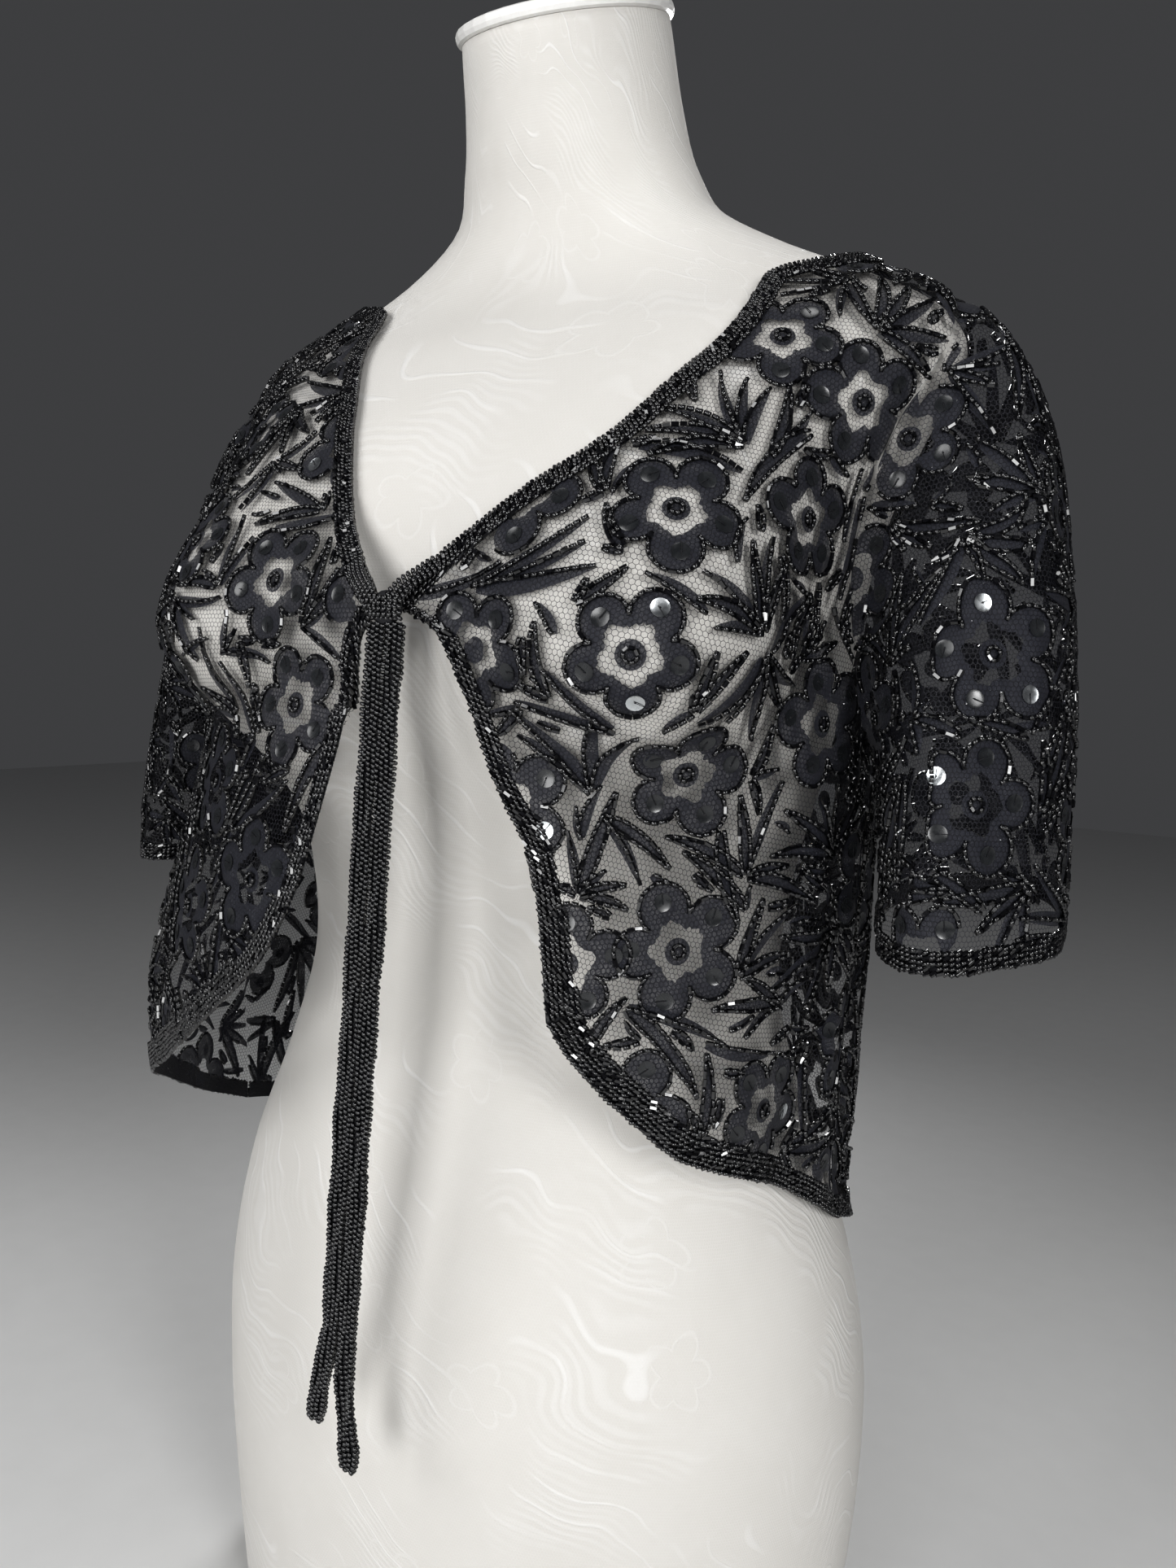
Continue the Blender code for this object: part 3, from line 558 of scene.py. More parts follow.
# Cloth: a piece's surface as a fine grid, on which motifs and beads are laid in metres
FINE = 200
MID = WALL / 2
# Bounds for where the lines of both shares nearly meet, and for a step, as a share
NARROWEST = 0.06
FLATTEST = 0.1
LONGEST_STEP = 0.06
WALK_STEPS = 4
LAY_STEPS = 5
# Farther than anything here, in metres
FARTHEST = 9.0


class Cloth:
    """A surface over two shares: u runs across it and v runs up it, from the hem to the shoulder."""

    def __init__(self, surface, ring=False, creases=()):
        self.ring = ring
        self.columns = FINE if ring else FINE + 1
        u, v = np.meshgrid(np.arange(self.columns) / FINE, np.linspace(0, 1, FINE + 1))
        self.points = surface(u, v, MID)
        out = surface(u, v, MID + 0.001) - self.points
        self.measure()
        if np.mean((self.normals * out).sum(-1)) < 0:
            self.normals = -self.normals
        wide = np.linalg.norm(self.along_u, axis=-1).mean()
        tall = np.linalg.norm(self.along_v, axis=-1).mean()
        move = np.zeros(u.shape)
        for crease in creases:
            move += crease_at(crease, u, v, wide, tall, ring)
        self.points = self.points + self.normals * move[..., None]
        before = self.normals
        self.measure()
        flipped = (self.normals * before).sum(-1, keepdims=True) < 0
        self.normals = np.where(flipped, -self.normals, self.normals)

    def measure(self):
        """Takes directions, normals and e, f and g: squares of metres a share, across, mixed and up."""
        if self.ring:
            ahead, behind = np.roll(self.points, -1, 1), np.roll(self.points, 1, 1)
            self.along_u = (ahead - behind) * FINE / 2
        else:
            self.along_u = np.gradient(self.points, axis=1) * FINE
        self.along_v = np.gradient(self.points, axis=0) * FINE
        self.normals = unit(np.cross(self.along_u, self.along_v), 1e-12)
        self.e = (self.along_u**2).sum(-1)
        self.f = (self.along_u * self.along_v).sum(-1)
        self.g = (self.along_v**2).sum(-1)

    def look_up(self, grid, u, v):
        """A grid's value at shares, between its points."""
        x = np.asarray(u, float) * FINE
        x = x % FINE if self.ring else np.clip(x, 0, FINE - 1e-6)
        y = np.clip(np.asarray(v, float) * FINE, 0, FINE - 1e-6)
        i, j = y.astype(int), x.astype(int)
        k = (j + 1) % self.columns
        s, t = x - j, y - i
        if grid.ndim == 3:
            s, t = s[..., None], t[..., None]
        low = grid[i, j] * (1 - s) + grid[i, k] * s
        high = grid[i + 1, j] * (1 - s) + grid[i + 1, k] * s
        return low * (1 - t) + high * t

    def squares(self, u, v):
        """The values of e, f and g at shares."""
        return (self.look_up(grid, u, v) for grid in (self.e, self.f, self.g))

    @staticmethod
    def width(e, f, g):
        """Metres a share, square to the lines of the other share."""
        return np.sqrt(np.maximum(e - f * f / g, NARROWEST * e))

    def at(self, u, v, lift=0.0):
        """Points that lie a lift above the cloth, and their normals."""
        normal = unit(self.look_up(self.normals, u, v))
        return self.look_up(self.points, u, v) + normal * np.asarray(lift, float)[..., None], normal

    def walk(self, u, v, across, up):
        """Shares reached from (u, v) by going so many metres across and up."""
        u, v, across, up = np.broadcast_arrays(u, v, across, up)
        for _ in range(WALK_STEPS):
            e, f, g = self.squares(u, v)
            du = across / WALK_STEPS / self.width(e, f, g)
            u, v = u + du, v + up / WALK_STEPS / np.sqrt(g) - du * f / g
        return u, v

    def lay(self, u, v, across, up):
        """Shares under the points of a flat figure, in metres, that touches the cloth at (u, v)."""
        foot = self.look_up(self.points, u, v)
        tall = unit(self.look_up(self.along_v, u, v))
        wide = np.cross(tall, self.look_up(self.normals, u, v))
        wide = unit(wide * np.sign((wide * self.look_up(self.along_u, u, v)).sum(-1, keepdims=True)))
        goal = foot + wide * np.asarray(across)[..., None] + tall * np.asarray(up)[..., None]
        u, v = self.walk(u, v, across, up)
        for _ in range(LAY_STEPS):
            e, f, g = self.squares(u, v)
            off = goal - self.look_up(self.points, u, v)
            a = (off * self.look_up(self.along_u, u, v)).sum(-1)
            b = (off * self.look_up(self.along_v, u, v)).sum(-1)
            spread = np.maximum(e * g - f * f, FLATTEST * e * g)
            u = u + np.clip((a * g - b * f) / spread, -LONGEST_STEP, LONGEST_STEP)
            v = v + np.clip((b * e - a * f) / spread, -LONGEST_STEP, LONGEST_STEP)
        return u, v

    def inward(self, u, v, far, row):
        """Shares a distance in from an edge and square to it. A row edge runs across, at one v."""
        u, v, far = np.broadcast_arrays(u, v, far)
        for _ in range(WALK_STEPS):
            e, f, g = self.squares(u, v)
            if row:
                dv = far / WALK_STEPS / self.width(g, f, e)
                u, v = u - dv * f / e, v + dv
            else:
                du = far / WALK_STEPS / self.width(e, f, g)
                u, v = u + du, v - du * f / g
        return u, v

    def from_sides(self, u, v):
        """How far shares are from the four sides: u = 0, u = 1, v = 0 and v = 1."""
        e, f, g = self.squares(u, v)
        wide, tall = self.width(e, f, g), self.width(g, f, e)
        start, end = (np.full(np.shape(u), FARTHEST),) * 2 if self.ring else (u * wide, (1 - u) * wide)
        return start, end, v * tall, (1 - v) * tall


# A cut is laid flat as a square net of springs, so many points a side
UNROLL = 33
UNROLL_TURNS = 150


def spring_links(side):
    """Pairs of neighbours in a square grid: along its rows, its columns and both diagonals."""
    index = np.arange(side * side).reshape(side, side)
    pairs = (
        (index[:, :-1], index[:, 1:]),
        (index[:-1], index[1:]),
        (index[:-1, :-1], index[1:, 1:]),
        (index[:-1, 1:], index[1:, :-1]),
    )
    return np.concatenate([np.stack([a.ravel(), b.ravel()], -1) for a, b in pairs])


def unrolled(cloth, rows, columns):
    """The flat cut of a cloth, in metres, at an even grid of its shares: a net of springs laid flat."""
    share = np.linspace(0, 1, UNROLL)
    points = cloth.at(*np.meshgrid(share, share))[0].reshape(-1, 3)
    first, second = spring_links(UNROLL).T
    rest = np.linalg.norm(points[second] - points[first], axis=-1)
    joined = np.zeros((len(points), len(points)))
    for one, other in ((first, second), (second, first)):
        np.add.at(joined, (one, one), 1)
        np.add.at(joined, (one, other), -1)
    joined[0, 0] += 1
    solved = np.linalg.inv(joined)
    flat = arc_uv(points.reshape(UNROLL, UNROLL, 3)).reshape(-1, 2)
    for _ in range(UNROLL_TURNS):
        gap = flat[second] - flat[first]
        gap = gap * (rest / np.maximum(np.linalg.norm(gap, axis=-1), 1e-9))[:, None]
        pull = np.zeros_like(flat)
        np.add.at(pull, second, gap)
        np.add.at(pull, first, -gap)
        flat = solved @ pull
    flat = flat.reshape(UNROLL, UNROLL, 2)
    rise = unit((flat[-1] - flat[0]).mean(0))
    upright = flat @ np.array([rise[1], -rise[0]]), flat @ rise
    at_u, at_v = np.linspace(0, 1, columns), np.linspace(0, 1, rows)
    made = []
    for grid in upright:
        wide = np.array([np.interp(at_u, share, row) for row in grid])
        made.append(np.array([np.interp(at_v, share, column) for column in wide.T]).T)
    return np.stack(made, -1)


# Creases run from one pair of shares to another
Crease = namedtuple("Crease", "u0 v0 u1 v1 width rise")
CREASE_BOW = 0.06
CREASE_ENDS = 0.35


def crease_at(crease, u, v, wide, tall, ring):
    """How far one soft crease moves the cloth out: a line that is deepest in its middle."""
    du = (u - crease.u0 + 0.5) % 1 - 0.5 if ring else u - crease.u0
    ax, ay = du * wide, (v - crease.v0) * tall
    bx, by = (crease.u1 - crease.u0) * wide, (crease.v1 - crease.v0) * tall
    length = math.hypot(bx, by)
    s = (ax * bx + ay * by) / length**2
    arch = np.sin(np.clip(s, 0, 1) * math.pi)
    off = (ax * by - ay * bx) / length + CREASE_BOW * length * arch
    beyond = np.maximum(np.abs(s - 0.5) - 0.5, 0) * length
    swell = CREASE_ENDS + (1 - CREASE_ENDS) * arch
    return crease.rise * swell * np.exp(-((off / crease.width) ** 2) - (beyond / (1.5 * crease.width)) ** 2)


CREASES = {
    "front_left": rows_of(
        Crease,
        (0.74, 0.52, 0.66, 0.05, 0.007, 0.0024),
        (0.6, 0.4, 0.52, 0.04, 0.006, -0.0012),
        (0.9, 0.47, 0.84, 0.08, 0.008, 0.0026),
        (0.82, 0.4, 0.77, 0.1, 0.005, -0.0014),
        (0.93, 0.55, 0.6, 0.66, 0.006, 0.002),
        (0.8, 0.6, 0.45, 0.58, 0.006, -0.0009),
        (0.97, 0.68, 0.78, 0.86, 0.007, 0.0014),
        (0.33, 0.28, 0.38, 0.02, 0.007, 0.0018),
    ),
    "front_right": rows_of(
        Crease,
        (0.72, 0.5, 0.62, 0.03, 0.008, 0.0026),
        (0.86, 0.46, 0.8, 0.06, 0.006, -0.0016),
        (0.5, 0.36, 0.44, 0.03, 0.007, 0.002),
        (0.94, 0.56, 0.62, 0.68, 0.007, 0.002),
        (0.6, 0.44, 0.55, 0.1, 0.005, -0.0014),
        (0.96, 0.7, 0.74, 0.88, 0.007, 0.0013),
        (0.26, 0.24, 0.3, 0.02, 0.008, 0.0015),
    ),
    "back": rows_of(
        Crease,
        (0.1, 0.46, 0.08, 0.02, 0.009, 0.0026),
        (0.22, 0.38, 0.2, 0.03, 0.008, -0.002),
        (0.34, 0.42, 0.31, 0.02, 0.01, 0.003),
        (0.47, 0.3, 0.46, 0.04, 0.008, -0.0018),
        (0.58, 0.4, 0.6, 0.02, 0.01, 0.0028),
        (0.7, 0.36, 0.73, 0.05, 0.008, -0.0022),
        (0.84, 0.45, 0.88, 0.03, 0.009, 0.0028),
        (0.05, 0.58, 0.3, 0.7, 0.008, 0.0018),
        (0.95, 0.58, 0.72, 0.72, 0.008, 0.0018),
    ),
    "sleeve_left": rows_of(
        Crease,
        (0.12, 0.86, 0.2, 0.3, 0.007, 0.0022),
        (0.2, 0.9, 0.27, 0.5, 0.006, -0.0014),
        (0.33, 0.93, 0.36, 0.45, 0.007, 0.0022),
        (0.66, 0.92, 0.62, 0.4, 0.007, 0.0022),
        (0.78, 0.88, 0.72, 0.35, 0.008, -0.0014),
        (0.9, 0.84, 0.84, 0.25, 0.007, 0.002),
        (0.02, 0.7, 0.05, 0.15, 0.006, -0.0012),
    ),
    "sleeve_right": rows_of(
        Crease,
        (0.1, 0.84, 0.17, 0.28, 0.007, 0.0022),
        (0.22, 0.91, 0.26, 0.44, 0.006, -0.0014),
        (0.35, 0.92, 0.4, 0.5, 0.007, 0.002),
        (0.63, 0.93, 0.6, 0.36, 0.007, 0.0024),
        (0.76, 0.86, 0.7, 0.3, 0.008, -0.0016),
        (0.92, 0.85, 0.86, 0.2, 0.007, 0.0022),
    ),
}


def surface_of(name):
    """The surface of a panel or sleeve, as a function of u, v and a lift, with v from the hem up."""
    if name in PANELS:
        return lambda u, v, lift: panel_at(name, u, v, lift)
    return lambda u, v, lift: sleeve_at(name, u, 1 - v) + sleeve_outward(name, u, 1 - v) * lift


CLOTHS = {name: Cloth(surface_of(name), name in SLEEVES, CREASES[name]) for name in (*PANELS, *SLEEVES)}


# Materials
class Look:
    """A material made of nodes."""

    def __init__(self, name, **constants):
        self.material = bpy.data.materials.new(name)
        self.material.use_nodes = True
        self.tree = self.material.node_tree
        self.shader = self.tree.nodes["Principled BSDF"]
        for socket, value in constants.items():
            self.shader.inputs[socket.replace("_", " ").title().replace("Ior", "IOR")].default_value = value

    def add(self, kind, out=0, **settings):
        """Adds a node. A setting named after an input, as in i0 or Height, sets or links that input."""
        made = self.tree.nodes.new("ShaderNode" + kind)
        inputs = {}
        for key, value in settings.items():
            if key[0].isupper():
                inputs[key] = value
            elif key[0] == "i" and key[1:].isdigit():
                inputs[int(key[1:])] = value
            else:
                setattr(made, key, value)
        for key, value in inputs.items():
            if isinstance(value, bpy.types.NodeSocket):
                self.tree.links.new(value, made.inputs[key])
            else:
                made.inputs[key].default_value = value
        return made.outputs[out]

    def value(self, operation, *values):
        return self.add("Math", operation=operation, **{f"i{k}": v for k, v in enumerate(values)})

    def plus(self, first, second):
        return self.value("ADD", first, second)

    def minus(self, first, second):
        return self.value("SUBTRACT", first, second)

    def times(self, first, second):
        return self.value("MULTIPLY", first, second)

    def size_of(self, value):
        return self.value("ABSOLUTE", value)

    def vector(self, operation, *values, out=0, **settings):
        values = {f"i{k}": v for k, v in enumerate(values)}
        return self.add("VectorMath", out, operation=operation, **values, **settings)

    def uv(self):
        return self.add("UVMap", uv_map="cloth")

    def place(self):
        return self.add("TexCoord", 3)

    def noise(self, where, scale, detail=2.0, out=0):
        return self.add("TexNoise", out, i0=where, i2=scale, i3=detail)

    def rib(self, where, scale, distortion):
        return self.add("TexWave", 1, i0=where, i1=scale, i2=distortion, i3=2.0, bands_direction="DIAGONAL")

    def ramp(self, value, low, high, to_low=0.0, to_high=1.0):
        return self.add("MapRange", i0=value, i1=low, i2=high, i3=to_low, i4=to_high)

    def blend(self, share, first, second):
        first, second = ((*tint, 1) if isinstance(tint, tuple) else tint for tint in (first, second))
        return self.add("Mix", 2, data_type="RGBA", i0=share, i6=first, i7=second)

    def to(self, socket, value):
        self.tree.links.new(value, self.shader.inputs[socket])

    def bump(self, height, strength, distance):
        self.to("Normal", self.add("Bump", Strength=strength, Distance=distance, Height=height))


def hexagons(look, where, cell, uneven):
    """How far a point is out from the middle of its net cell: 0.5 on the threads."""
    scaled = look.vector("MULTIPLY", where, (1 / cell, 0.87 / cell, 0))
    wander = look.vector("SUBTRACT", look.noise(scaled, 0.42, 2.0, out=1), (0.5, 0.5, 0.5))
    scaled = look.vector("ADD", scaled, look.vector("SCALE", wander, i3=uneven))
    scaled = look.vector("ADD", scaled, (500.0, 866.0, 0.0))
    half, whole = (0.5, math.sqrt(3) / 2, 0), (1, math.sqrt(3), 1)
    first = look.vector("SUBTRACT", look.vector("MODULO", scaled, whole), half)
    second = look.vector("SUBTRACT", look.vector("MODULO", look.vector("ADD", scaled, half), whole), half)
    squares = [look.vector("DOT_PRODUCT", one, one, out=1) for one in (first, second)]
    nearer = look.add("Mix", 1, data_type="VECTOR", i0=look.value("LESS_THAN", *squares), i4=second, i5=first)
    spread = look.vector("ABSOLUTE", nearer)
    slant = look.vector("DOT_PRODUCT", spread, half, out=1)
    level = look.vector("DOT_PRODUCT", spread, (1, 0, 0), out=1)
    return look.value("MAXIMUM", slant, level)


NET_CELL = 0.00190
NET_THREAD = 0.00018


def net_look():
    look = Look("Black net", roughness=0.62, ior=1.45)
    cells = hexagons(look, look.uv(), NET_CELL, 0.55)
    edge = 0.5 - NET_THREAD / NET_CELL / 2
    look.to("Alpha", look.ramp(cells, edge - 0.03, edge + 0.03))
    tint = look.noise(look.uv(), 900.0)
    look.to("Base Color", look.blend(tint, (0.010, 0.010, 0.014), (0.028, 0.028, 0.036)))
    return look.material


def woven_look():
    """The dense shiny weave of the petals and leaves, through which the ground just shows."""
    look = Look("Woven charcoal satin", ior=1.35, sheen_weight=0.05)
    uv = look.uv()
    cells = hexagons(look, uv, NET_CELL, 0.55)
    mesh = look.ramp(cells, 0.36, 0.46)
    rib = look.rib(uv, 1400.0, 1.5)
    cloud = look.noise(uv, 160.0, 3.0)
    see_through = look.times(look.minus(1.0, mesh), look.ramp(cloud, 0.35, 0.75, 0.06, 0.26))
    look.to("Alpha", look.minus(1.0, see_through))
    pale = look.blend(cloud, (0.015, 0.016, 0.023), (0.036, 0.038, 0.052))
    ribbed = look.blend(look.times(rib, 0.45), pale, (0.009, 0.009, 0.013))
    look.to("Base Color", look.blend(look.times(mesh, 0.75), ribbed, (0.004, 0.004, 0.006)))
    look.to("Roughness", look.ramp(rib, 0.0, 1.0, 0.48, 0.68))
    look.bump(look.plus(look.times(rib, 0.4), mesh), 0.5, 0.0002)
    return look.material


def glass_look():
    look = Look("Black glass beads", ior=1.8)
    shift = look.noise(look.place(), 420.0, 1.0)
    tint = look.blend(look.ramp(shift, 0.35, 0.7), (0.0015, 0.0015, 0.002), (0.006, 0.006, 0.008))
    look.to("Base Color", tint)
    look.to("Roughness", look.ramp(shift, 0.3, 0.7, 0.06, 0.15))
    return look.material


def sequin_look(name, dark, pale, metallic):
    look = Look(name, metallic=metallic, ior=1.6)
    shift = look.noise(look.place(), 260.0, 2.0)
    look.to("Base Color", look.blend(shift, dark, pale))
    look.to("Roughness", look.ramp(shift, 0.3, 0.7, 0.16, 0.32))
    return look.material


def thread_look():
    look = Look("Black thread ground", roughness=0.7)
    rib = look.rib(look.place(), 1500.0, 3.0)
    look.to("Base Color", look.blend(rib, (0.004, 0.004, 0.006), (0.016, 0.016, 0.020)))
    look.bump(rib, 0.4, 0.0002)
    return look.material


def cover_look():
    """Ivory jersey under white floral lace in low relief."""
    look = Look("Ivory cover under white lace", sheen_weight=0.2, ior=1.45)
    uv = look.uv()
    sway = look.vector("SUBTRACT", look.noise(uv, 22.0, 2.0, out=1), (0.5, 0.5, 0.5))
    bent = look.vector("ADD", uv, look.vector("MULTIPLY", sway, (0.022, 0.022, 0)))
    middle = look.add("TexVoronoi", "Position", voronoi_dimensions="2D", Vector=bent, Scale=12.0)
    local = look.vector("SUBTRACT", bent, middle)
    parts = look.add("SeparateXYZ", i0=local).node.outputs
    angle = look.value("ARCTAN2", parts[1], parts[0])
    far = look.vector("LENGTH", local, out=1)
    lobes = look.size_of(look.value("COSINE", look.times(angle, 2.5)))
    rim = look.plus(0.009, look.times(lobes, 0.006))
    outline = look.ramp(look.size_of(look.minus(far, rim)), 0.0012, 0.0003)
    slope = look.vector("DOT_PRODUCT", uv, (1.7, 2.9, 0), out=1)
    field = look.plus(slope, look.times(look.noise(uv, 6.0, 1.0), 0.60))
    field = look.plus(field, look.times(look.noise(uv, 24.0, 1.0), 0.13))
    cords = look.size_of(look.value("SINE", look.times(field, 58.0)))
    fine = look.size_of(look.value("SINE", look.times(field, 190.0)))
    where = look.ramp(look.noise(uv, 15.0, 2.0), 0.47, 0.60)
    dense = look.ramp(look.noise(uv, 16.0, 2.0), 0.50, 0.60)
    cords = look.times(look.ramp(cords, 0.970, 0.998), where)
    fine = look.times(look.times(look.ramp(fine, 0.55, 0.95), dense), 0.45)
    relief = look.value("MAXIMUM", look.value("MAXIMUM", cords, fine), look.times(outline, 0.35))
    weave = look.ramp(hexagons(look, uv, 0.0013, 0.3), 0.36, 0.5)
    jersey = look.blend(look.noise(uv, 30.0), (0.64, 0.620, 0.585), (0.69, 0.673, 0.643))
    netted = look.blend(look.times(weave, 0.22), jersey, (0.75, 0.742, 0.725))
    look.to("Base Color", look.blend(look.times(relief, 0.45), netted, (0.83, 0.825, 0.815)))
    look.to("Roughness", look.ramp(relief, 0.0, 1.0, 0.88, 0.66))
    look.bump(look.plus(relief, look.times(weave, 0.2)), 0.40, 0.0006)
    return look.material


def cap_look():
    look = Look("White cap", ior=1.5, coat_weight=0.2)
    grain = look.noise(look.place(), 300.0, 3.0)
    look.to("Base Color", look.blend(grain, (0.80, 0.79, 0.77), (0.88, 0.875, 0.86)))
    look.to("Roughness", look.ramp(grain, 0.3, 0.7, 0.35, 0.5))
    return look.material


NET, WOVEN, GLASS, THREAD = net_look(), woven_look(), glass_look(), thread_look()
DARK_SEQUIN = sequin_look("Dark sequins", (0.010, 0.011, 0.012), (0.026, 0.028, 0.031), 0.0)
BRIGHT_SEQUIN = sequin_look("Mirror sequins", (0.62, 0.66, 0.68), (0.88, 0.90, 0.92), 1.0)


# Meshes
def make(name, points, faces, look, uv=None, smooth=True):
    """An object from arrays: points, and faces as a list of arrays with one row a face."""
    mesh = bpy.data.meshes.new(name)
    points = np.asarray(points, np.float32).reshape(-1, 3)
    loops = np.concatenate([part.ravel() for part in faces]).astype(np.int32)
    sizes = np.concatenate([np.full(len(part), part.shape[1]) for part in faces])
    starts = np.concatenate([[0], np.cumsum(sizes)[:-1]]).astype(np.int32)
    mesh.vertices.add(len(points))
    mesh.vertices.foreach_set("co", points.ravel())
    mesh.loops.add(len(loops))
    mesh.loops.foreach_set("vertex_index", loops)
    mesh.polygons.add(len(sizes))
    mesh.polygons.foreach_set("loop_start", starts)
    mesh.polygons.foreach_set("use_smooth", np.broadcast_to(smooth, len(sizes)).astype(bool))
    if uv is not None:
        layer = mesh.uv_layers.new(name="cloth")
        layer.data.foreach_set("uv", np.asarray(uv, np.float32).reshape(-1, 2)[loops].ravel())
    mesh.update(calc_edges=True)
    mesh.validate()
    mesh.materials.append(look)
    obj = bpy.data.objects.new(name, mesh)
    bpy.context.scene.collection.objects.link(obj)
    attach(obj, "root")
    return obj


def quads(rows, columns, ring=False):
    """Faces of a grid whose points are stored row by row."""
    i, j = np.meshgrid(np.arange(rows - 1), np.arange(columns if ring else columns - 1), indexing="ij")
    here, beside = i * columns + j, i * columns + (j + 1) % columns
    return np.stack([here, beside, beside + columns, here + columns], -1).reshape(-1, 4)


def turns_of(count):
    """A full turn in equal steps, in radians."""
    return np.arange(count) * 2 * math.pi / count


def prism(sides):
    """A bead along X with a length and radius of 1: points, side faces and end faces."""
    turn = turns_of(sides)
    ends = [np.stack([np.full(sides, x), np.cos(turn), np.sin(turn)], -1) for x in (-0.5, 0.5)]
    j = np.arange(sides)
    k = (j + 1) % sides
    return np.concatenate(ends), np.stack([j, k, k + sides, j + sides], -1), np.stack([j[::-1], j + sides])


DRAWN_IN = 0.66


def barrel(sides):
    """A bead like a prism, whose ends are drawn in from a wider middle."""
    ends, side, caps = prism(sides)
    points = np.concatenate([ends * np.array([1, DRAWN_IN, DRAWN_IN]), ends[:sides] * np.array([0, 1, 1])])
    j, k = side[:, 0], side[:, 1]
    low = np.stack([j, k, k + 2 * sides, j + 2 * sides], -1)
    high = np.stack([j + 2 * sides, k + 2 * sides, k + sides, j + sides], -1)
    return points, np.concatenate([low, high]), caps


PRISM, BARREL, ROD = prism(5), barrel(6), prism(4)
# How uneven beads are: the share with flat sides, the spread of their tilt and dip, and their sizes
FACETED = 0.25
TILT_SPREAD = 0.07
DIP_SPREAD = 0.06
LENGTHS = (0.92, 1.04)
RADII = (0.93, 1.06)


class Beads:
    """Gathers beads, and makes one mesh of them."""

    def __init__(self, seed, shape=PRISM):
        self.random = np.random.default_rng(seed)
        self.shape = shape
        self.parts = []

    def add(self, places, axes, normals, length, radius, tilt=0.0):
        """Beads at places, each along its axis and turned by tilt about its normal."""
        count = len(places)
        if not count:
            return
        axes = unit(axes - (axes * normals).sum(-1, keepdims=True) * normals, 1e-9)
        side = np.cross(normals, axes)
        tilt = (tilt + self.random.normal(0, TILT_SPREAD, count))[:, None]
        axes, side = rotated(axes, side, tilt)
        axes, normals = rotated(axes, normals, self.random.normal(0, DIP_SPREAD, count)[:, None])
        side, normals = rotated(side, normals, self.random.uniform(0, 2 * math.pi, count)[:, None])
        long = length * self.random.uniform(*LENGTHS, count)[:, None, None]
        wide = radius * self.random.uniform(*RADII, count)[:, None, None]
        along, across, out = (self.shape[0][None, :, k : k + 1] for k in range(3))
        made = places[:, None] + axes[:, None] * (along * long) + side[:, None] * (across * wide)
        self.parts.append(made + normals[:, None] * (out * wide))

    def make(self, name, look=GLASS):
        points = np.concatenate(self.parts)
        step = np.arange(len(points))[:, None, None] * self.shape[0].shape[0]
        faces = [(part[None] + step).reshape(-1, part.shape[1]) for part in self.shape[1:]]
        rounded = (self.random.random(len(points)) >= FACETED) | (self.shape is BARREL)
        smooth = np.concatenate([np.repeat(rounded, len(part)) for part in self.shape[1:]])
        return make(name, points, faces, look, smooth=smooth)


def along_path(points, normals, pitch, closed=False):
    """Places every pitch along a line of points, with their directions, normals and shares of the line."""
    if closed:
        points, normals = np.concatenate([points, points[:1]]), np.concatenate([normals, normals[:1]])
    far = np.concatenate([[0], np.cumsum(np.linalg.norm(np.diff(points, axis=0), axis=1))])
    count = int(far[-1] / pitch)
    if count < 1:
        return np.zeros((0, 3)), np.zeros((0, 3)), np.zeros((0, 3)), np.zeros(0)
    at = (np.arange(count) + 0.5) * far[-1] / count

    def found(values, where):
        return np.stack([np.interp(where, far, values[:, k]) for k in range(3)], -1)

    ways = found(points, at + 1e-4) - found(points, at - 1e-4)
    return found(points, at), ways, unit(found(normals, at)), at / far[-1]


def arc_uv(points):
    """Flat coordinates in metres of a grid of points: how far each is along its row and its column."""
    across = np.linalg.norm(np.diff(points, axis=1), axis=-1)
    up = np.linalg.norm(np.diff(points, axis=0), axis=-1)
    x = np.concatenate([np.zeros((len(points), 1)), np.cumsum(across, 1)], 1)
    y = np.concatenate([np.zeros((1, points.shape[1])), np.cumsum(up, 0)], 0)
    return np.stack([x - x.mean(1, keepdims=True), y], -1)


# Motifs. A turn of 0 degrees points up the cloth, and 90 points across it, the way that u grows.
Flower = namedtuple("Flower", "u v width turn bright")
Spray = namedtuple("Spray", "u v turn spread leaves length")
FLOWERS = {
    "front_left": rows_of(
        Flower,
        (0.196, 0.838, 0.05, 10, ""),
        (0.725, 0.817, 0.052, 30, ""),
        (0.258, 0.65, 0.052, 0, ""),
        (0.662, 0.7, 0.05, -20, ""),
        (0.325, 0.496, 0.056, -6, "02"),
        (0.095, 0.425, 0.05, 14, "4"),
        (0.446, 0.396, 0.052, 20, ""),
        (0.396, 0.225, 0.054, -10, ""),
        (0.085, 0.121, 0.05, 8, ""),
    ),
    "front_right": rows_of(
        Flower,
        (0.163, 0.521, 0.054, 5, ""),
        (0.104, 0.388, 0.054, 30, ""),
        (0.33, 0.62, 0.052, -15, ""),
    ),
    "sleeve_left": rows_of(
        Flower,
        (0.165, 0.345, 0.056, 12, "03"),
        (0.19, 0.18, 0.054, -15, "1"),
    ),
}
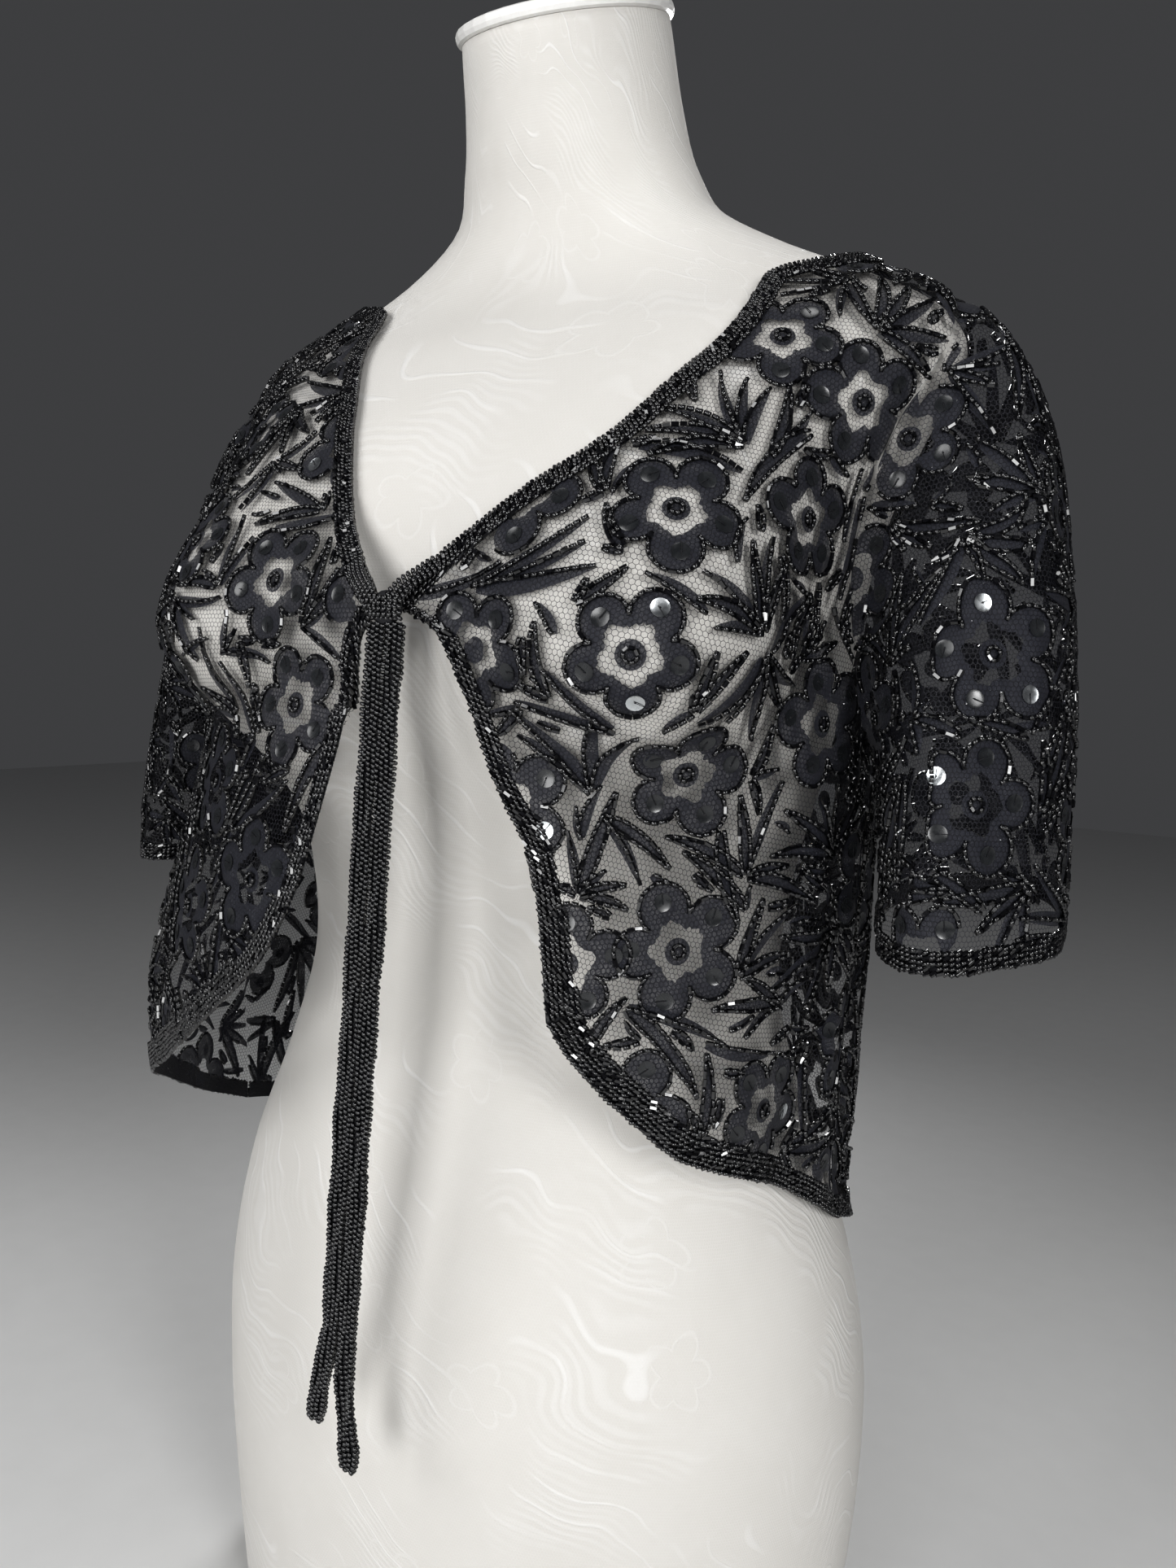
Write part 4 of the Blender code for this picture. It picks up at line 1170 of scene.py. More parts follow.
SPRAYS = {
    "front_left": rows_of(
        Spray,
        (0.56, 0.868, 60, 130, 7, 0.026),
        (0.33, 0.735, -60, 90, 6, 0.028),
        (0.42, 0.735, 55, 90, 5, 0.024),
        (0.085, 0.5, 62, 60, 6, 0.036),
        (0.537, 0.56, -35, 90, 6, 0.026),
        (0.545, 0.54, 170, 70, 5, 0.028),
        (0.237, 0.34, -4, 50, 6, 0.029),
        (0.25, 0.325, 110, 70, 4, 0.026),
        (0.271, 0.06, 6, 100, 6, 0.023),
    ),
    "front_right": rows_of(
        Spray,
        (0.04, 0.462, 60, 70, 5, 0.03),
        (0.06, 0.6, 40, 90, 5, 0.026),
    ),
}
# The least room between motifs
APART = {"flowers": 0.0565, "roots": 0.022, "late_roots": 0.009, "leaves": 0.0039, "front_leaves": 0.0044}
FLOWER_TRIES = 3500
LEAF_TRIES = 4000
EARLY_TRIES = 2000
PETALS = 5
AROUND_FLOWER = 60
PETAL_RINGS = 4
PETAL_REACH = 0.630
PETAL_RADIUS = 0.374
FLOWER_WIDTHS = (0.048, 0.056)
PETAL_LENGTHS = (0.90, 1.04)
EYE_RADIUS = 0.40
EYE_WAVE = 0.05
EYE_RAGGED = 0.03
DISC_RADIUS = 0.20
BRIGHT_SHARE = 0.045
LEAF_ROWS = 7
LEAF_MARKS = np.array([0.25, 0.4, 0.55, 0.7, 0.85, 1.0])
LEAVES = 7
LEAF_FAN = math.radians(68)
LEAF_BEND = 0.34
SPRAY_BEND = 0.25
LEAF_UNEVEN = (0.85, 1.1)
SPRAY_UNEVEN = (1.2, 1.5)
LEAF_LENGTHS = np.array([0.042, 0.035, 0.028, 0.021, 0.014, 0.010])
SPRAY_CUTS = np.array([1, 0.8, 0.6, 0.4])
# A leaf has beads on its vein below the first share, on one side below the second, and else on both
VEIN_SHARE = 0.20
ONE_SIDE_SHARE = 0.45
# Motifs keep this far in from a cloth's outline, as a share
OUTLINE = 0.004
# How high over the net a motif's edges lie, and how much its middle rises over them
PETAL_LIFT = 0.00025
PETAL_DOME = 0.0006
LEAF_LIFT = 0.0003
LEAF_DOME = 0.0005
# How high over the net beads lie, less their radius: round petals, beside leaves and on their veins
RIM_LIFT = 0.00025
SIDE_LIFT = 0.0005
VEIN_LIFT = 0.0009
MIDDLE_LIFT = 0.0012
# Beads: length, radius and, where they are strung, pitch
BUGLE = (0.0029, 0.00094, 0.0031)
MIDDLE_BEAD = (0.0021, 0.00090)
MIDDLE_PITCH = 0.0022
MIDDLE_RADIUS = 0.0025
# Sequins: how far out on a petal, as shares of it, how high they lie and how they lean
SEQUIN_OUT = (0.66, 0.74)
SEQUIN_LIFT = 0.00115
SEQUIN_LEAN = 0.045
SEQUIN_ROOM = 0.003
SEQUIN_SIDES = 16
# Radius and rise of each ring of a sequin
SEQUIN_RINGS = ((0.0004, -0.00012), (0.0026, -0.0001), (0.0035, 0.0001))
THREAD_SIZE = (0.0045, 0.00016)
NET_SIDES = {
    "front_left": (48, 72),
    "front_right": (48, 72),
    "back": (96, 80),
    "sleeve_left": (72, 52),
    "sleeve_right": (72, 52),
}
# How far beads keep from each kind of edge
HEM_KEEP = 0.0090
OPENING_KEEP = 0.0085
SEAM_KEEP = 0.0012
ARMHOLE_KEEP = 0.0015
NECK_SHARE_BACK = NECK_SHARE - 0.01


def inside(cloth, u, v, more=0.0):
    """Whether shares lie on a cloth and clear of its edging and seams."""
    if cloth.ring:
        limits = (-1, -1, OPENING_KEEP, ARMHOLE_KEEP)
    elif cloth is CLOTHS["back"]:
        neck = (u > NECK_SHARE_BACK) & (u < 1 - NECK_SHARE_BACK)
        limits = (SEAM_KEEP, SEAM_KEEP, HEM_KEEP, np.where(neck, HEM_KEEP, SEAM_KEEP))
    else:
        limits = (OPENING_KEEP, SEAM_KEEP, HEM_KEEP, SEAM_KEEP)
    fits = np.ones(np.shape(u), bool)
    for far, least in zip(cloth.from_sides(u, v), limits):
        fits &= far > least + more
    return fits


def nearest(places, here):
    """How far the nearest of some places is from here."""
    return np.linalg.norm(np.asarray(places) - here, axis=1).min() if len(places) else FARTHEST


def petal_rim(turn, lengths):
    """A flower's rim as a share of its half width, five round petals that meet in notches."""
    petal = np.round(turn / (2 * math.pi / PETALS)).astype(int) % PETALS
    off = (turn + math.pi / PETALS) % (2 * math.pi / PETALS) - math.pi / PETALS
    size = np.take_along_axis(lengths, np.broadcast_to(petal, (len(lengths), petal.shape[-1])), 1)
    deep = np.maximum(PETAL_RADIUS**2 - (PETAL_REACH * np.sin(off)) ** 2, 0.0)
    return size * np.maximum(PETAL_REACH * np.cos(off) + np.sqrt(deep), 0.5)


def leaf_line(s, turn, length, bend):
    """The middle line of a leaf, in metres across and up from its foot."""
    along, aside = length * s, length * bend * s * s
    return along * np.sin(turn) + aside * np.cos(turn), along * np.cos(turn) - aside * np.sin(turn)


def leaf_width(s, length):
    """Half the width of a leaf along its line."""
    return (0.0011 + length * 0.036) * np.sin(math.pi * s**0.75) ** 0.7


class Garland:
    """All motifs of one cloth: where they lie, their woven shapes, their beads and their sequins."""

    def __init__(self, name, seed):
        self.name = name
        self.cloth = CLOTHS[name]
        self.random = np.random.default_rng(seed)
        self.beads = Beads(seed + 1)
        self.threads = Beads(seed + 2, ROD)
        self.sequins = {False: [], True: []}
        self.points, self.faces, self.uv = [], [], []
        self.count = 0
        self.flowers = list(FLOWERS.get(name, ()))
        self.leaves = []
        self.fill_flowers()
        self.fill_leaves()
        if self.flowers:
            self.lay_flowers()
        if self.leaves:
            self.lay_leaves()

    def fill_flowers(self):
        """Adds flowers where there is room for them."""
        placed = [self.cloth.at(f.u, f.v)[0] for f in self.flowers]
        for _ in range(FLOWER_TRIES):
            u, v = self.random.uniform(0, 1, 2)
            width = self.random.uniform(*FLOWER_WIDTHS)
            here = self.cloth.at(u, v)[0]
            if nearest(placed, here) < APART["flowers"]:
                continue
            placed.append(here)
            bright = "".join(str(k) for k in range(PETALS) if self.random.random() < BRIGHT_SHARE)
            self.flowers.append(Flower(u, v, width, self.random.uniform(0, 72), bright))
        self.centres = np.array(placed)
        self.halves = np.array([f.width / 2 for f in self.flowers])

    def grow(self, u, v, turns, lengths, bends):
        """Grows a leaf at each turn, of the first of its lengths that lies on no other motif."""
        x, y = leaf_line(LEAF_MARKS, turns[:, None, None], lengths[:, :, None], bends[:, None, None])
        at_u, at_v = self.cloth.lay(u, v, x, y)
        marks = self.cloth.at(at_u, at_v)[0]
        fits = inside(self.cloth, at_u, at_v)[..., :4].all(-1)
        far = np.linalg.norm(marks[..., None, :] - self.centres, axis=-1)
        fits &= (far > self.halves * 0.92).all((-1, -2))
        grown = False
        for k, turn in enumerate(turns):
            for j in np.flatnonzero(fits[k]):
                near = np.linalg.norm(marks[k, j, 2:, None] - self.taken, axis=-1).min()
                if near > self.apart:
                    self.leaves.append((u, v, turn, lengths[k, j], bends[k]))
                    self.taken = np.concatenate([self.taken, marks[k, j]])
                    grown = True
                    break
        return grown

    def fill_leaves(self):
        """Grows the named sprays, and then more of them wherever the net is bare."""
        self.taken = np.full((1, 3), FARTHEST)
        self.apart = APART["front_leaves" if "front" in self.name else "leaves"]
        roots = []
        for spray in SPRAYS.get(self.name, ()):
            turns = np.radians(spray.turn + np.linspace(-0.5, 0.5, spray.leaves) * spray.spread)
            lengths = spray.length * self.random.uniform(*SPRAY_UNEVEN, len(turns))[:, None] * SPRAY_CUTS
            bends = SPRAY_BEND * np.sign(turns - math.radians(spray.turn))
            self.grow(spray.u, spray.v, turns, lengths, bends)
            roots.append(self.cloth.at(spray.u, spray.v)[0])
        spread = np.linspace(-1, 1, LEAVES)
        for attempt in range(LEAF_TRIES):
            u, v = self.random.uniform(0, 1, 2)
            here = self.cloth.at(u, v)[0]
            if (np.linalg.norm(self.centres - here, axis=1) < self.halves * 0.96).any():
                continue
            if nearest(roots, here) < APART["roots" if attempt < EARLY_TRIES else "late_roots"]:
                continue
            if nearest(self.taken, here) < self.apart:
                continue
            turns = self.random.uniform(0, 2 * math.pi) + spread * LEAF_FAN
            lengths = self.random.uniform(*LEAF_UNEVEN, (LEAVES, 1)) * LEAF_LENGTHS
            if self.grow(u, v, turns, lengths, LEAF_BEND * spread):
                roots.append(here)

    def weave(self, u, v, lift, flat, faces):
        """Adds woven shapes, kept inside the cloth's outline. The grids' first axis is the shape."""
        count = len(u)
        lift = np.broadcast_to(lift, u.shape).reshape(count, -1)
        u, v = u.reshape(count, -1), v.reshape(count, -1)
        u = u if self.cloth.ring else np.clip(u, OUTLINE, 1)
        points = self.cloth.at(u, np.clip(v, OUTLINE, 1), lift)[0]
        for one, flat_one in zip(points, np.stack(flat, -1).reshape(count, -1, 2)):
            a, b, c, d = one[faces].transpose(1, 0, 2)
            kept = faces[np.linalg.norm(np.cross(c - a, d - b), axis=-1) > 1e-7]
            if len(kept):
                self.points.append(one)
                self.uv.append(flat_one)
                self.faces.append(kept + self.count)
                self.count += len(one)

    def string(self, u, v, lift, closed=False):
        """Sews bugle beads along a line of shares."""
        points, normals = self.cloth.at(u, v, lift)
        places, ways, square, at = along_path(points, normals, BUGLE[2], closed)
        if not len(places):
            return
        if closed:
            u, v = np.append(u, u[0]), np.append(v, v[0])
        share = np.linspace(0, 1, len(u))
        kept = inside(self.cloth, np.interp(at, share, u), np.interp(at, share, v), 0.0004)
        self.beads.add(places[kept], ways[kept], square[kept], *BUGLE[:2])

    def lay_flowers(self):
        """The woven petals and middles of all flowers, and then the beads of each."""
        count = len(self.flowers)
        half = np.array([f.width / 2 for f in self.flowers])[:, None]
        start = np.radians([f.turn for f in self.flowers])[:, None, None]
        u0, v0 = (np.array([getattr(f, key) for f in self.flowers])[:, None, None] for key in "uv")
        lengths = self.random.uniform(*PETAL_LENGTHS, (count, PETALS))
        turn = turns_of(AROUND_FLOWER)
        rim = petal_rim(turn[None], lengths) * half
        ragged = self.random.uniform(-EYE_RAGGED, EYE_RAGGED, rim.shape)
        inner = half * (EYE_RADIUS + EYE_WAVE * np.cos(PETALS * turn)[None] + ragged)
        share = np.linspace(0, 1, PETAL_RINGS + 1)[None, :, None]
        far = inner[:, None] + (rim - inner)[:, None] * share
        way = turn[None, None] + start
        x, y = far * np.sin(way), far * np.cos(way)
        lift = PETAL_LIFT + PETAL_DOME * np.sin(math.pi * share) ** 0.7
        faces = quads(PETAL_RINGS + 1, AROUND_FLOWER, True)
        self.weave(*self.cloth.lay(u0, v0, x, y), lift, (x + u0 * 0.37, y + v0 * 0.53), faces)
        disc = np.linspace(0.02, 1, 3)[None, :, None] * half[:, None] * DISC_RADIUS
        x, y = disc * np.sin(way[:, :, ::4]), disc * np.cos(way[:, :, ::4])
        self.weave(*self.cloth.lay(u0, v0, x, y), LEAF_LIFT, (x, y), quads(3, AROUND_FLOWER // 4, True))
        for flower, petals in zip(self.flowers, lengths):
            self.bead_flower(flower, petals)

    def bead_flower(self, flower, lengths):
        """Beads round the rim and middle of a flower, and a sequin on each of its petals."""

        def lay(far, way):
            return self.cloth.lay(flower.u, flower.v, far * np.sin(way), far * np.cos(way))

        half, start = flower.width / 2, math.radians(flower.turn)
        fine = np.linspace(0, 2 * math.pi, 240, endpoint=False)
        u, v = lay(petal_rim(fine[None], lengths[None])[0] * flower.width / 2, fine + start)
        self.string(u, v, RIM_LIFT + BUGLE[1], closed=True)
        u, v = lay(MIDDLE_RADIUS, np.linspace(0, 2 * math.pi, 24, endpoint=False))
        if inside(self.cloth, u, v, 0.0005).all():
            places, ways, square, _ = along_path(*self.cloth.at(u, v, MIDDLE_LIFT), MIDDLE_PITCH, True)
            self.beads.add(places, ways, square, *MIDDLE_BEAD)
        for petal in range(PETALS):
            way = start + petal * 2 * math.pi / PETALS + self.random.uniform(-0.08, 0.08)
            u, v = lay(half * lengths[petal] * self.random.uniform(*SEQUIN_OUT), way)
            if inside(self.cloth, u, v, SEQUIN_ROOM):
                self.sequins[str(petal) in flower.bright].append((u, v))

    def lay_leaves(self):
        """All leaves as woven shapes, and beads along one or both sides or the vein of each."""
        u0, v0, turn, length, bend = (np.array(column)[:, None, None] for column in zip(*self.leaves))
        s = np.linspace(0.06, 1, LEAF_ROWS)[None, :, None]
        t = np.array([-1, -0.5, 0, 0.5, 1])[None, None, :]
        x, y = leaf_line(s, turn, length, bend)
        wide = leaf_width(s, length) + 0.0002
        x = x + t * wide * np.cos(turn + 2 * bend * s)
        y = y - t * wide * np.sin(turn + 2 * bend * s)
        lift = LEAF_LIFT + LEAF_DOME * (1 - t * t) * np.sin(math.pi * s)
        self.weave(*self.cloth.lay(u0, v0, x, y), lift, (x + u0 * 0.31, y + v0 * 0.47), quads(LEAF_ROWS, 5))
        fine = np.linspace(0.03, 1, 40)
        for at_u, at_v, turn, length, bend in self.leaves:
            x, y = leaf_line(fine, turn, length, bend)
            wide, way = leaf_width(fine, length), turn + 2 * bend * fine
            draw = self.random.random()
            for line in (0,) if draw < VEIN_SHARE else (-1,) if draw < ONE_SIDE_SHARE else (-1, 1):
                out = line * wide
                u, v = self.cloth.lay(at_u, at_v, x + out * np.cos(way), y - out * np.sin(way))
                self.string(u, v, (SIDE_LIFT if line else VEIN_LIFT) + BUGLE[1])

    def lay_sequins(self, bright):
        """Slightly cupped discs of 7 mm, each held by a thread from its middle to its rim."""
        u, v = np.array(self.sequins[bright]).T
        places, normals = self.cloth.at(u, v, SEQUIN_LIFT)
        first = unit(np.cross(np.array([0.13, 0.31, 0.94]), normals))
        second = np.cross(normals, first)
        lean = self.random.normal(0, SEQUIN_LEAN, (2, len(u), 1))
        tilted = unit(normals + first * lean[0] + second * lean[1])
        first = np.cross(second, tilted)
        second = np.cross(tilted, first)
        rim = turns_of(SEQUIN_SIDES)[None, :, None]
        out = first[:, None] * np.cos(rim) + second[:, None] * np.sin(rim)
        rings = [places[:, None] + out * radius + tilted[:, None] * rise for radius, rise in SEQUIN_RINGS]
        points = np.stack(rings, 1).reshape(len(u), -1, 3)
        step = np.arange(len(u))[:, None, None] * points.shape[1]
        faces = (quads(len(SEQUIN_RINGS), SEQUIN_SIDES, True)[None] + step).reshape(-1, 4)
        way = self.random.uniform(0, 2 * math.pi, len(u))[:, None]
        line = first * np.cos(way) + second * np.sin(way)
        self.threads.add(places + line * 0.0015 + tilted * 0.00025, line, tilted, *THREAD_SIZE)
        name = ("bright" if bright else "dark") + "_sequins_" + self.name
        return make(name, points, [faces], BRIGHT_SEQUIN if bright else DARK_SEQUIN)

    def make(self):
        """The pieces of this garland: woven shapes, beads, sequins and threads."""
        faces, uv = [np.concatenate(self.faces)], np.concatenate(self.uv)
        made = [make("motifs_" + self.name, np.concatenate(self.points), faces, WOVEN, uv=uv)]
        made.append(self.beads.make("beads_" + self.name))
        made += [self.lay_sequins(bright) for bright in (False, True) if self.sequins[bright]]
        if self.threads.parts:
            made.append(self.threads.make("threads_" + self.name, THREAD))
        return made


# Dense edging: its widths, its rows, and beads with a length, a radius and a pitch
NECK_BAND = 0.0095
FRONT_BAND = 0.0080
CORNER_BAND = 0.0130
HEM_BAND = 0.0090
EVEN_BAND = 0.0088
FIRST_ROW = 0.0009
ROW_STEP = 0.00185
ROW_LIFT = 0.00124
FRONT_ROWS = 7
ROWS_OF_BAND = 5
NECK_BEAD = (0.0021, 0.00092, 0.00195)
SLANTED = (0.0028, 0.00092, 0.00240)
NECK_LEAN = (1.25, 1.15, 0.95, 0.45, 0.30)
OPENING_LEAN = 0.42
HEM_LEAN = 0.40
ROW_SWAY = 0.00018
LEAN_SPREAD = 0.10
GROUND_LIFT = 0.00035
GROUND_INSET = 0.001


def opening_width(v):
    """How wide the edging of a front's opening is, up its length."""
    return np.where(v > TIE_SHARE, NECK_BAND, np.interp(v, [0, 0.25], [CORNER_BAND, FRONT_BAND]))


def hem_width(u):
    """How wide the edging of a front's hem is, from the opening to the side."""
    return np.interp(u, [0, 0.45, 0.8], [CORNER_BAND, CORNER_BAND, HEM_BAND])


def opening_rows(cloth):
    """The lines of a front's edging, from the shoulder down the opening and along the hem, as shares."""
    fine = np.linspace(0, 1, 260)
    down, corner = fine[::-1], 0 * fine
    for k in range(FRONT_ROWS):
        far = FIRST_ROW + k * ROW_STEP
        down_u, down_v = cloth.inward(corner, down, far, False)
        hem_u, hem_v = cloth.inward(fine, corner, far, True)
        order = np.argsort(down_v)
        keep_down = (down_v > np.interp(down_u, hem_u, hem_v)) & (far < opening_width(down))
        keep_hem = (hem_u > np.interp(hem_v, down_v[order], down_u[order])) & (far < hem_width(fine))
        yield k, (down_u, down_v, keep_down), (hem_u, hem_v, keep_hem)


def sew_row(beads, cloth, u, v, kept, tilt, size, closed=False):
    """Sews a row of beads along the kept stretch of a line."""
    index = np.flatnonzero(kept)
    if len(index) < 3:
        return
    long, radius, pitch = size
    stretch = slice(index[0], index[-1] + 1)
    points, normals = cloth.at(u[stretch], v[stretch], ROW_LIFT)
    places, ways, square, _ = along_path(points, normals, pitch, closed)
    sway = beads.random.normal(0, ROW_SWAY, len(places))[:, None]
    side = unit(np.cross(square, ways), 1e-9)
    lean = beads.random.normal(0, LEAN_SPREAD, len(places))
    beads.add(places + side * sway, ways, square, long, radius, tilt + lean)


def neck_row(k):
    """The lean and the beads of a row of the neckline."""
    return NECK_LEAN[k % len(NECK_LEAN)], NECK_BEAD if k < 3 else SLANTED


def ground(name, *grids):
    """A dark ground under dense beads, from grids of points."""
    faces, count = [], 0
    for grid in grids:
        faces.append(quads(*grid.shape[:2]) + count)
        count += grid.shape[0] * grid.shape[1]
    points = np.concatenate([grid.reshape(-1, 3) for grid in grids])
    return make(name, points, faces, THREAD)


def band(cloth, width, row=True, neck=False):
    """A grid of points along an edge and inwards over its width. A row is a hem, or the back's neckline."""
    start = NECK_SHARE if neck else 0.0
    share = np.linspace(start, 1 - start, 160)
    lines = []
    for part in np.linspace(0.0, 1.0, 4):
        far = (-1 if neck else 1) * width(share) * part
        if row:
            u, v = cloth.inward(share, float(neck) + 0 * share, far, True)
        else:
            u, v = cloth.inward(0 * share, share, far, False)
        u = u if cloth.ring else np.clip(u, 0, 1)
        lines.append(cloth.at(u, np.clip(v, 0, 1), GROUND_LIFT)[0])
    return np.array(lines)


def even_width(share):
    return 0 * share + EVEN_BAND


def edge_front(side):
    """The bead edging of a front: its neckline, opening and hem."""
    cloth = CLOTHS["front_" + side]
    beads = Beads(31 if side == "left" else 32)
    for k, (u, v, kept), hem in opening_rows(cloth):
        neck = kept & (v > TIE_SHARE)
        sew_row(beads, cloth, u, v, neck, *neck_row(k))
        sew_row(beads, cloth, u, v, kept & ~neck, OPENING_LEAN, SLANTED)
        sew_row(beads, cloth, *hem, HEM_LEAN, SLANTED)
    piece = beads.make("beads_edge_front_" + side)
    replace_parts(piece, "edge_front_" + side)
    opening = band(cloth, lambda v: opening_width(v) - GROUND_INSET, row=False)
    hem = band(cloth, lambda u: hem_width(u) - GROUND_INSET)
    return [piece, ground("ground_edge_front_" + side, opening, hem)]


def edge_back():
    """The bead edging of the back's neckline and hem."""
    cloth = CLOTHS["back"]
    neck, hem = Beads(33), Beads(34)
    fine = np.linspace(0, 1, 320)
    across, everything = NECK_SHARE + (1 - 2 * NECK_SHARE) * fine, np.ones(len(fine), bool)
    for k in range(ROWS_OF_BAND):
        far = FIRST_ROW + k * ROW_STEP
        sew_row(neck, cloth, *cloth.inward(across, 1 + 0 * fine, -far, True), everything, *neck_row(k))
        sew_row(hem, cloth, *cloth.inward(fine, 0 * fine, far, True), everything, HEM_LEAN, SLANTED)
    neck_beads, hem_beads = neck.make("beads_neck_back"), hem.make("beads_hem_back")
    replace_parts(neck_beads, "edge_neck_back")
    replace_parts(hem_beads, "hem_back")
    neck_ground = ground("ground_neck_back", band(cloth, even_width, neck=True))
    return [neck_beads, hem_beads, neck_ground, ground("ground_hem_back", band(cloth, even_width))]


def cuff(side):
    """The bead edging of a sleeve's hem."""
    cloth = CLOTHS["sleeve_" + side]
    beads = Beads(35 if side == "left" else 36)
    fine = np.linspace(0, 1, 200, endpoint=False)
    everything = np.ones(len(fine), bool)
    for k in range(ROWS_OF_BAND):
        line = cloth.inward(fine, 0 * fine, FIRST_ROW + k * ROW_STEP, True)
        sew_row(beads, cloth, *line, everything, HEM_LEAN, SLANTED, closed=True)
    piece = beads.make("beads_cuff_" + side)
    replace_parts(piece, "cuff_" + side)
    return [piece, ground("ground_cuff_" + side, band(cloth, even_width))]


# The ties, in columns of beads
TIE_ROWS = 160
TIE_COLUMNS = 4
TIE_BEAD = (0.0023, 0.00102)
TIE_PITCH = 0.00215
TIE_GAP = 0.0007
TIE_NARROWS_FROM = 0.96
RIBBON_INSET = 0.0004
# How far the columns sway in waves and at random, and how their beads lean
SWAY = 0.00034
SLOW_SWAY = 0.00042
SWAY_SPREAD = 0.00019
BEAD_LEAN = -0.42
LEAN_WAVE = 0.30
TIE_LEAN_SPREAD = 0.12
FACE_LIFT = 0.0008


def tie_line(sign, share):
    """The middle line of a tie at shares of its length. The left one has a sign of 1, the right one -1."""
    top, foot = np.array(TIE_TOP), np.array(TIE_FOOT)
    if sign > 0:
        foot = foot + (foot - top) * LONGER_LEFT / np.linalg.norm(foot - top)
    line = top + (foot - top) * share[:, None]
    apart = smooth_step(1 - FORK / np.linalg.norm(foot - top), 1, share)
    line[:, 0] += sign * ((TIE_WIDTH + TIE_GAP) / 2 + apart * FORK_SPREAD)
    line[:, 1] -= TIE_THICK / 2
    return line


def tie(side, sign):
    """A tie: a dark ribbon under columns of beads on both faces, which sway as hand work does."""
    share = np.linspace(0, 1, 60)
    half = (TIE_WIDTH / 2 - RIBBON_INSET) * (1 - 0.25 * smooth_step(TIE_NARROWS_FROM, 1, share))
    line = tie_line(sign, share)
    grid = np.stack([line + np.array([1.0, 0, 0]) * (half * t)[:, None] for t in (-1, 0, 1)], 1)
    ribbon = make("tie_ground_" + side, grid, [quads(60, 3)], THREAD, uv=arc_uv(grid))
    beads = Beads(41 if sign > 0 else 42, BARREL)
    for column in range(TIE_COLUMNS):
        share = (np.arange(TIE_ROWS) + 0.3 + 0.4 * (column % 2)) / TIE_ROWS
        line = tie_line(sign, share)
        narrow = 1 + 0.16 * np.exp(-(((share - 0.975) / 0.012) ** 2)) - 0.35 * smooth_step(0.985, 1, share)
        sway = SWAY * np.sin(share * 61 + column * 1.3 + sign) + beads.random.normal(0, SWAY_SPREAD, TIE_ROWS)
        sway = sway + SLOW_SWAY * np.sin(share * 27 + column * 2.1 + 2 * sign) * np.sin(share * 11 + sign)
        line[:, 0] += (column - 1.5) * TIE_PITCH * narrow + sway
        way = np.tile([1.0, 0.0, BEAD_LEAN], (TIE_ROWS, 1))
        wave = LEAN_WAVE * np.sin(share * 19 + column + sign)
        way[:, 2] += wave + beads.random.normal(0, TIE_LEAN_SPREAD, TIE_ROWS)
        for front in (-1, 1):
            normal = np.tile([0.0, front, 0.0], (TIE_ROWS, 1))
            beads.add(line + normal * FACE_LIFT, way, normal, *TIE_BEAD)
    piece = beads.make("tie_beads_" + side)
    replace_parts(piece, "tie_" + side)


# The knot's core and the rows of beads that wrap it
CORE_SHARES = (0.84, 0.50, 0.66)
WRAPS = 4
WRAP_STEP = 0.00205
STRING_LIFT = 0.0019
STRING_FROM = np.array([0.050, 0.030])
STRING_PULL = 0.42


def knot_string(beads, side, sign, column):
    """One row of beads that bends from a neckline band down into its tie."""
    cloth = CLOTHS["front_" + side]
    share = np.linspace(0, 1, 30)[:, None]
    far = FIRST_ROW + (column if sign > 0 else TIE_COLUMNS - 1 - column) * ROW_STEP
    u, v = cloth.inward(0 * STRING_FROM, TIE_SHARE + STRING_FROM, far, False)
    start, ahead = cloth.at(u, v, STRING_LIFT)[0]
    end = tie_line(sign, np.zeros(1))[0] + np.array([(column - 1.5) * TIE_PITCH, -0.0009, 0.0005])
    reach = np.linalg.norm(end - start) * STRING_PULL
    start_pull = start + unit(ahead - start) * reach + np.array([0, -0.0042, 0])
    line = bezier(share, start, start_pull, end + np.array([0, -0.0050, reach]), end)
    normal = np.tile([0.30 * sign, -0.95, 0.10], (len(line), 1))
    places, ways, square, _ = along_path(line, normal, TIE_PITCH)
    beads.add(places, ways, square, *TIE_BEAD, 1.0 * sign)


def knot():
    """Where the ties are sewn on: rows of both neckline bands bend down over a dark core that beads wrap."""
    beads = Beads(43, BARREL)
    for side, sign in (("left", 1), ("right", -1)):
        for column in range(TIE_COLUMNS):
            knot_string(beads, side, sign, column)
    size = np.array(KNOT_SIZE) * CORE_SHARES
    centre = np.array([TIE_TOP[0], TIE_TOP[1] - TIE_THICK / 2, TIE_TOP[2] + KNOT_SIZE[2] * 0.55])
    across = np.linspace(-1.2, 1.2, 24)
    normal = np.stack([np.sin(across), -np.cos(across), 0 * across], -1)
    for row in range(WRAPS):
        line = centre + normal * size * (1, 1.15, 0) + np.array([0, 0, (row - 1.3) * WRAP_STEP])
        places, ways, square, _ = along_path(line, normal, TIE_PITCH)
        beads.add(places, ways, square, *TIE_BEAD, 0.6)
    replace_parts(beads.make("knot_beads"), "tie_knot")
    tall, turn = np.meshgrid(np.linspace(-1.5, 1.5, 13), turns_of(24), indexing="ij")
    core = np.stack([np.cos(tall) * np.cos(turn), np.cos(tall) * np.sin(turn), np.sin(tall)], -1) * size
    core = core * (1 + 0.03 * np.sin(9 * turn + 5 * tall))[..., None] + centre
    make("knot_core", core, [quads(13, 24, True)], THREAD)


# The form, finer than its solid
FORM_AROUND = 132
FORM_LEVELS = 170


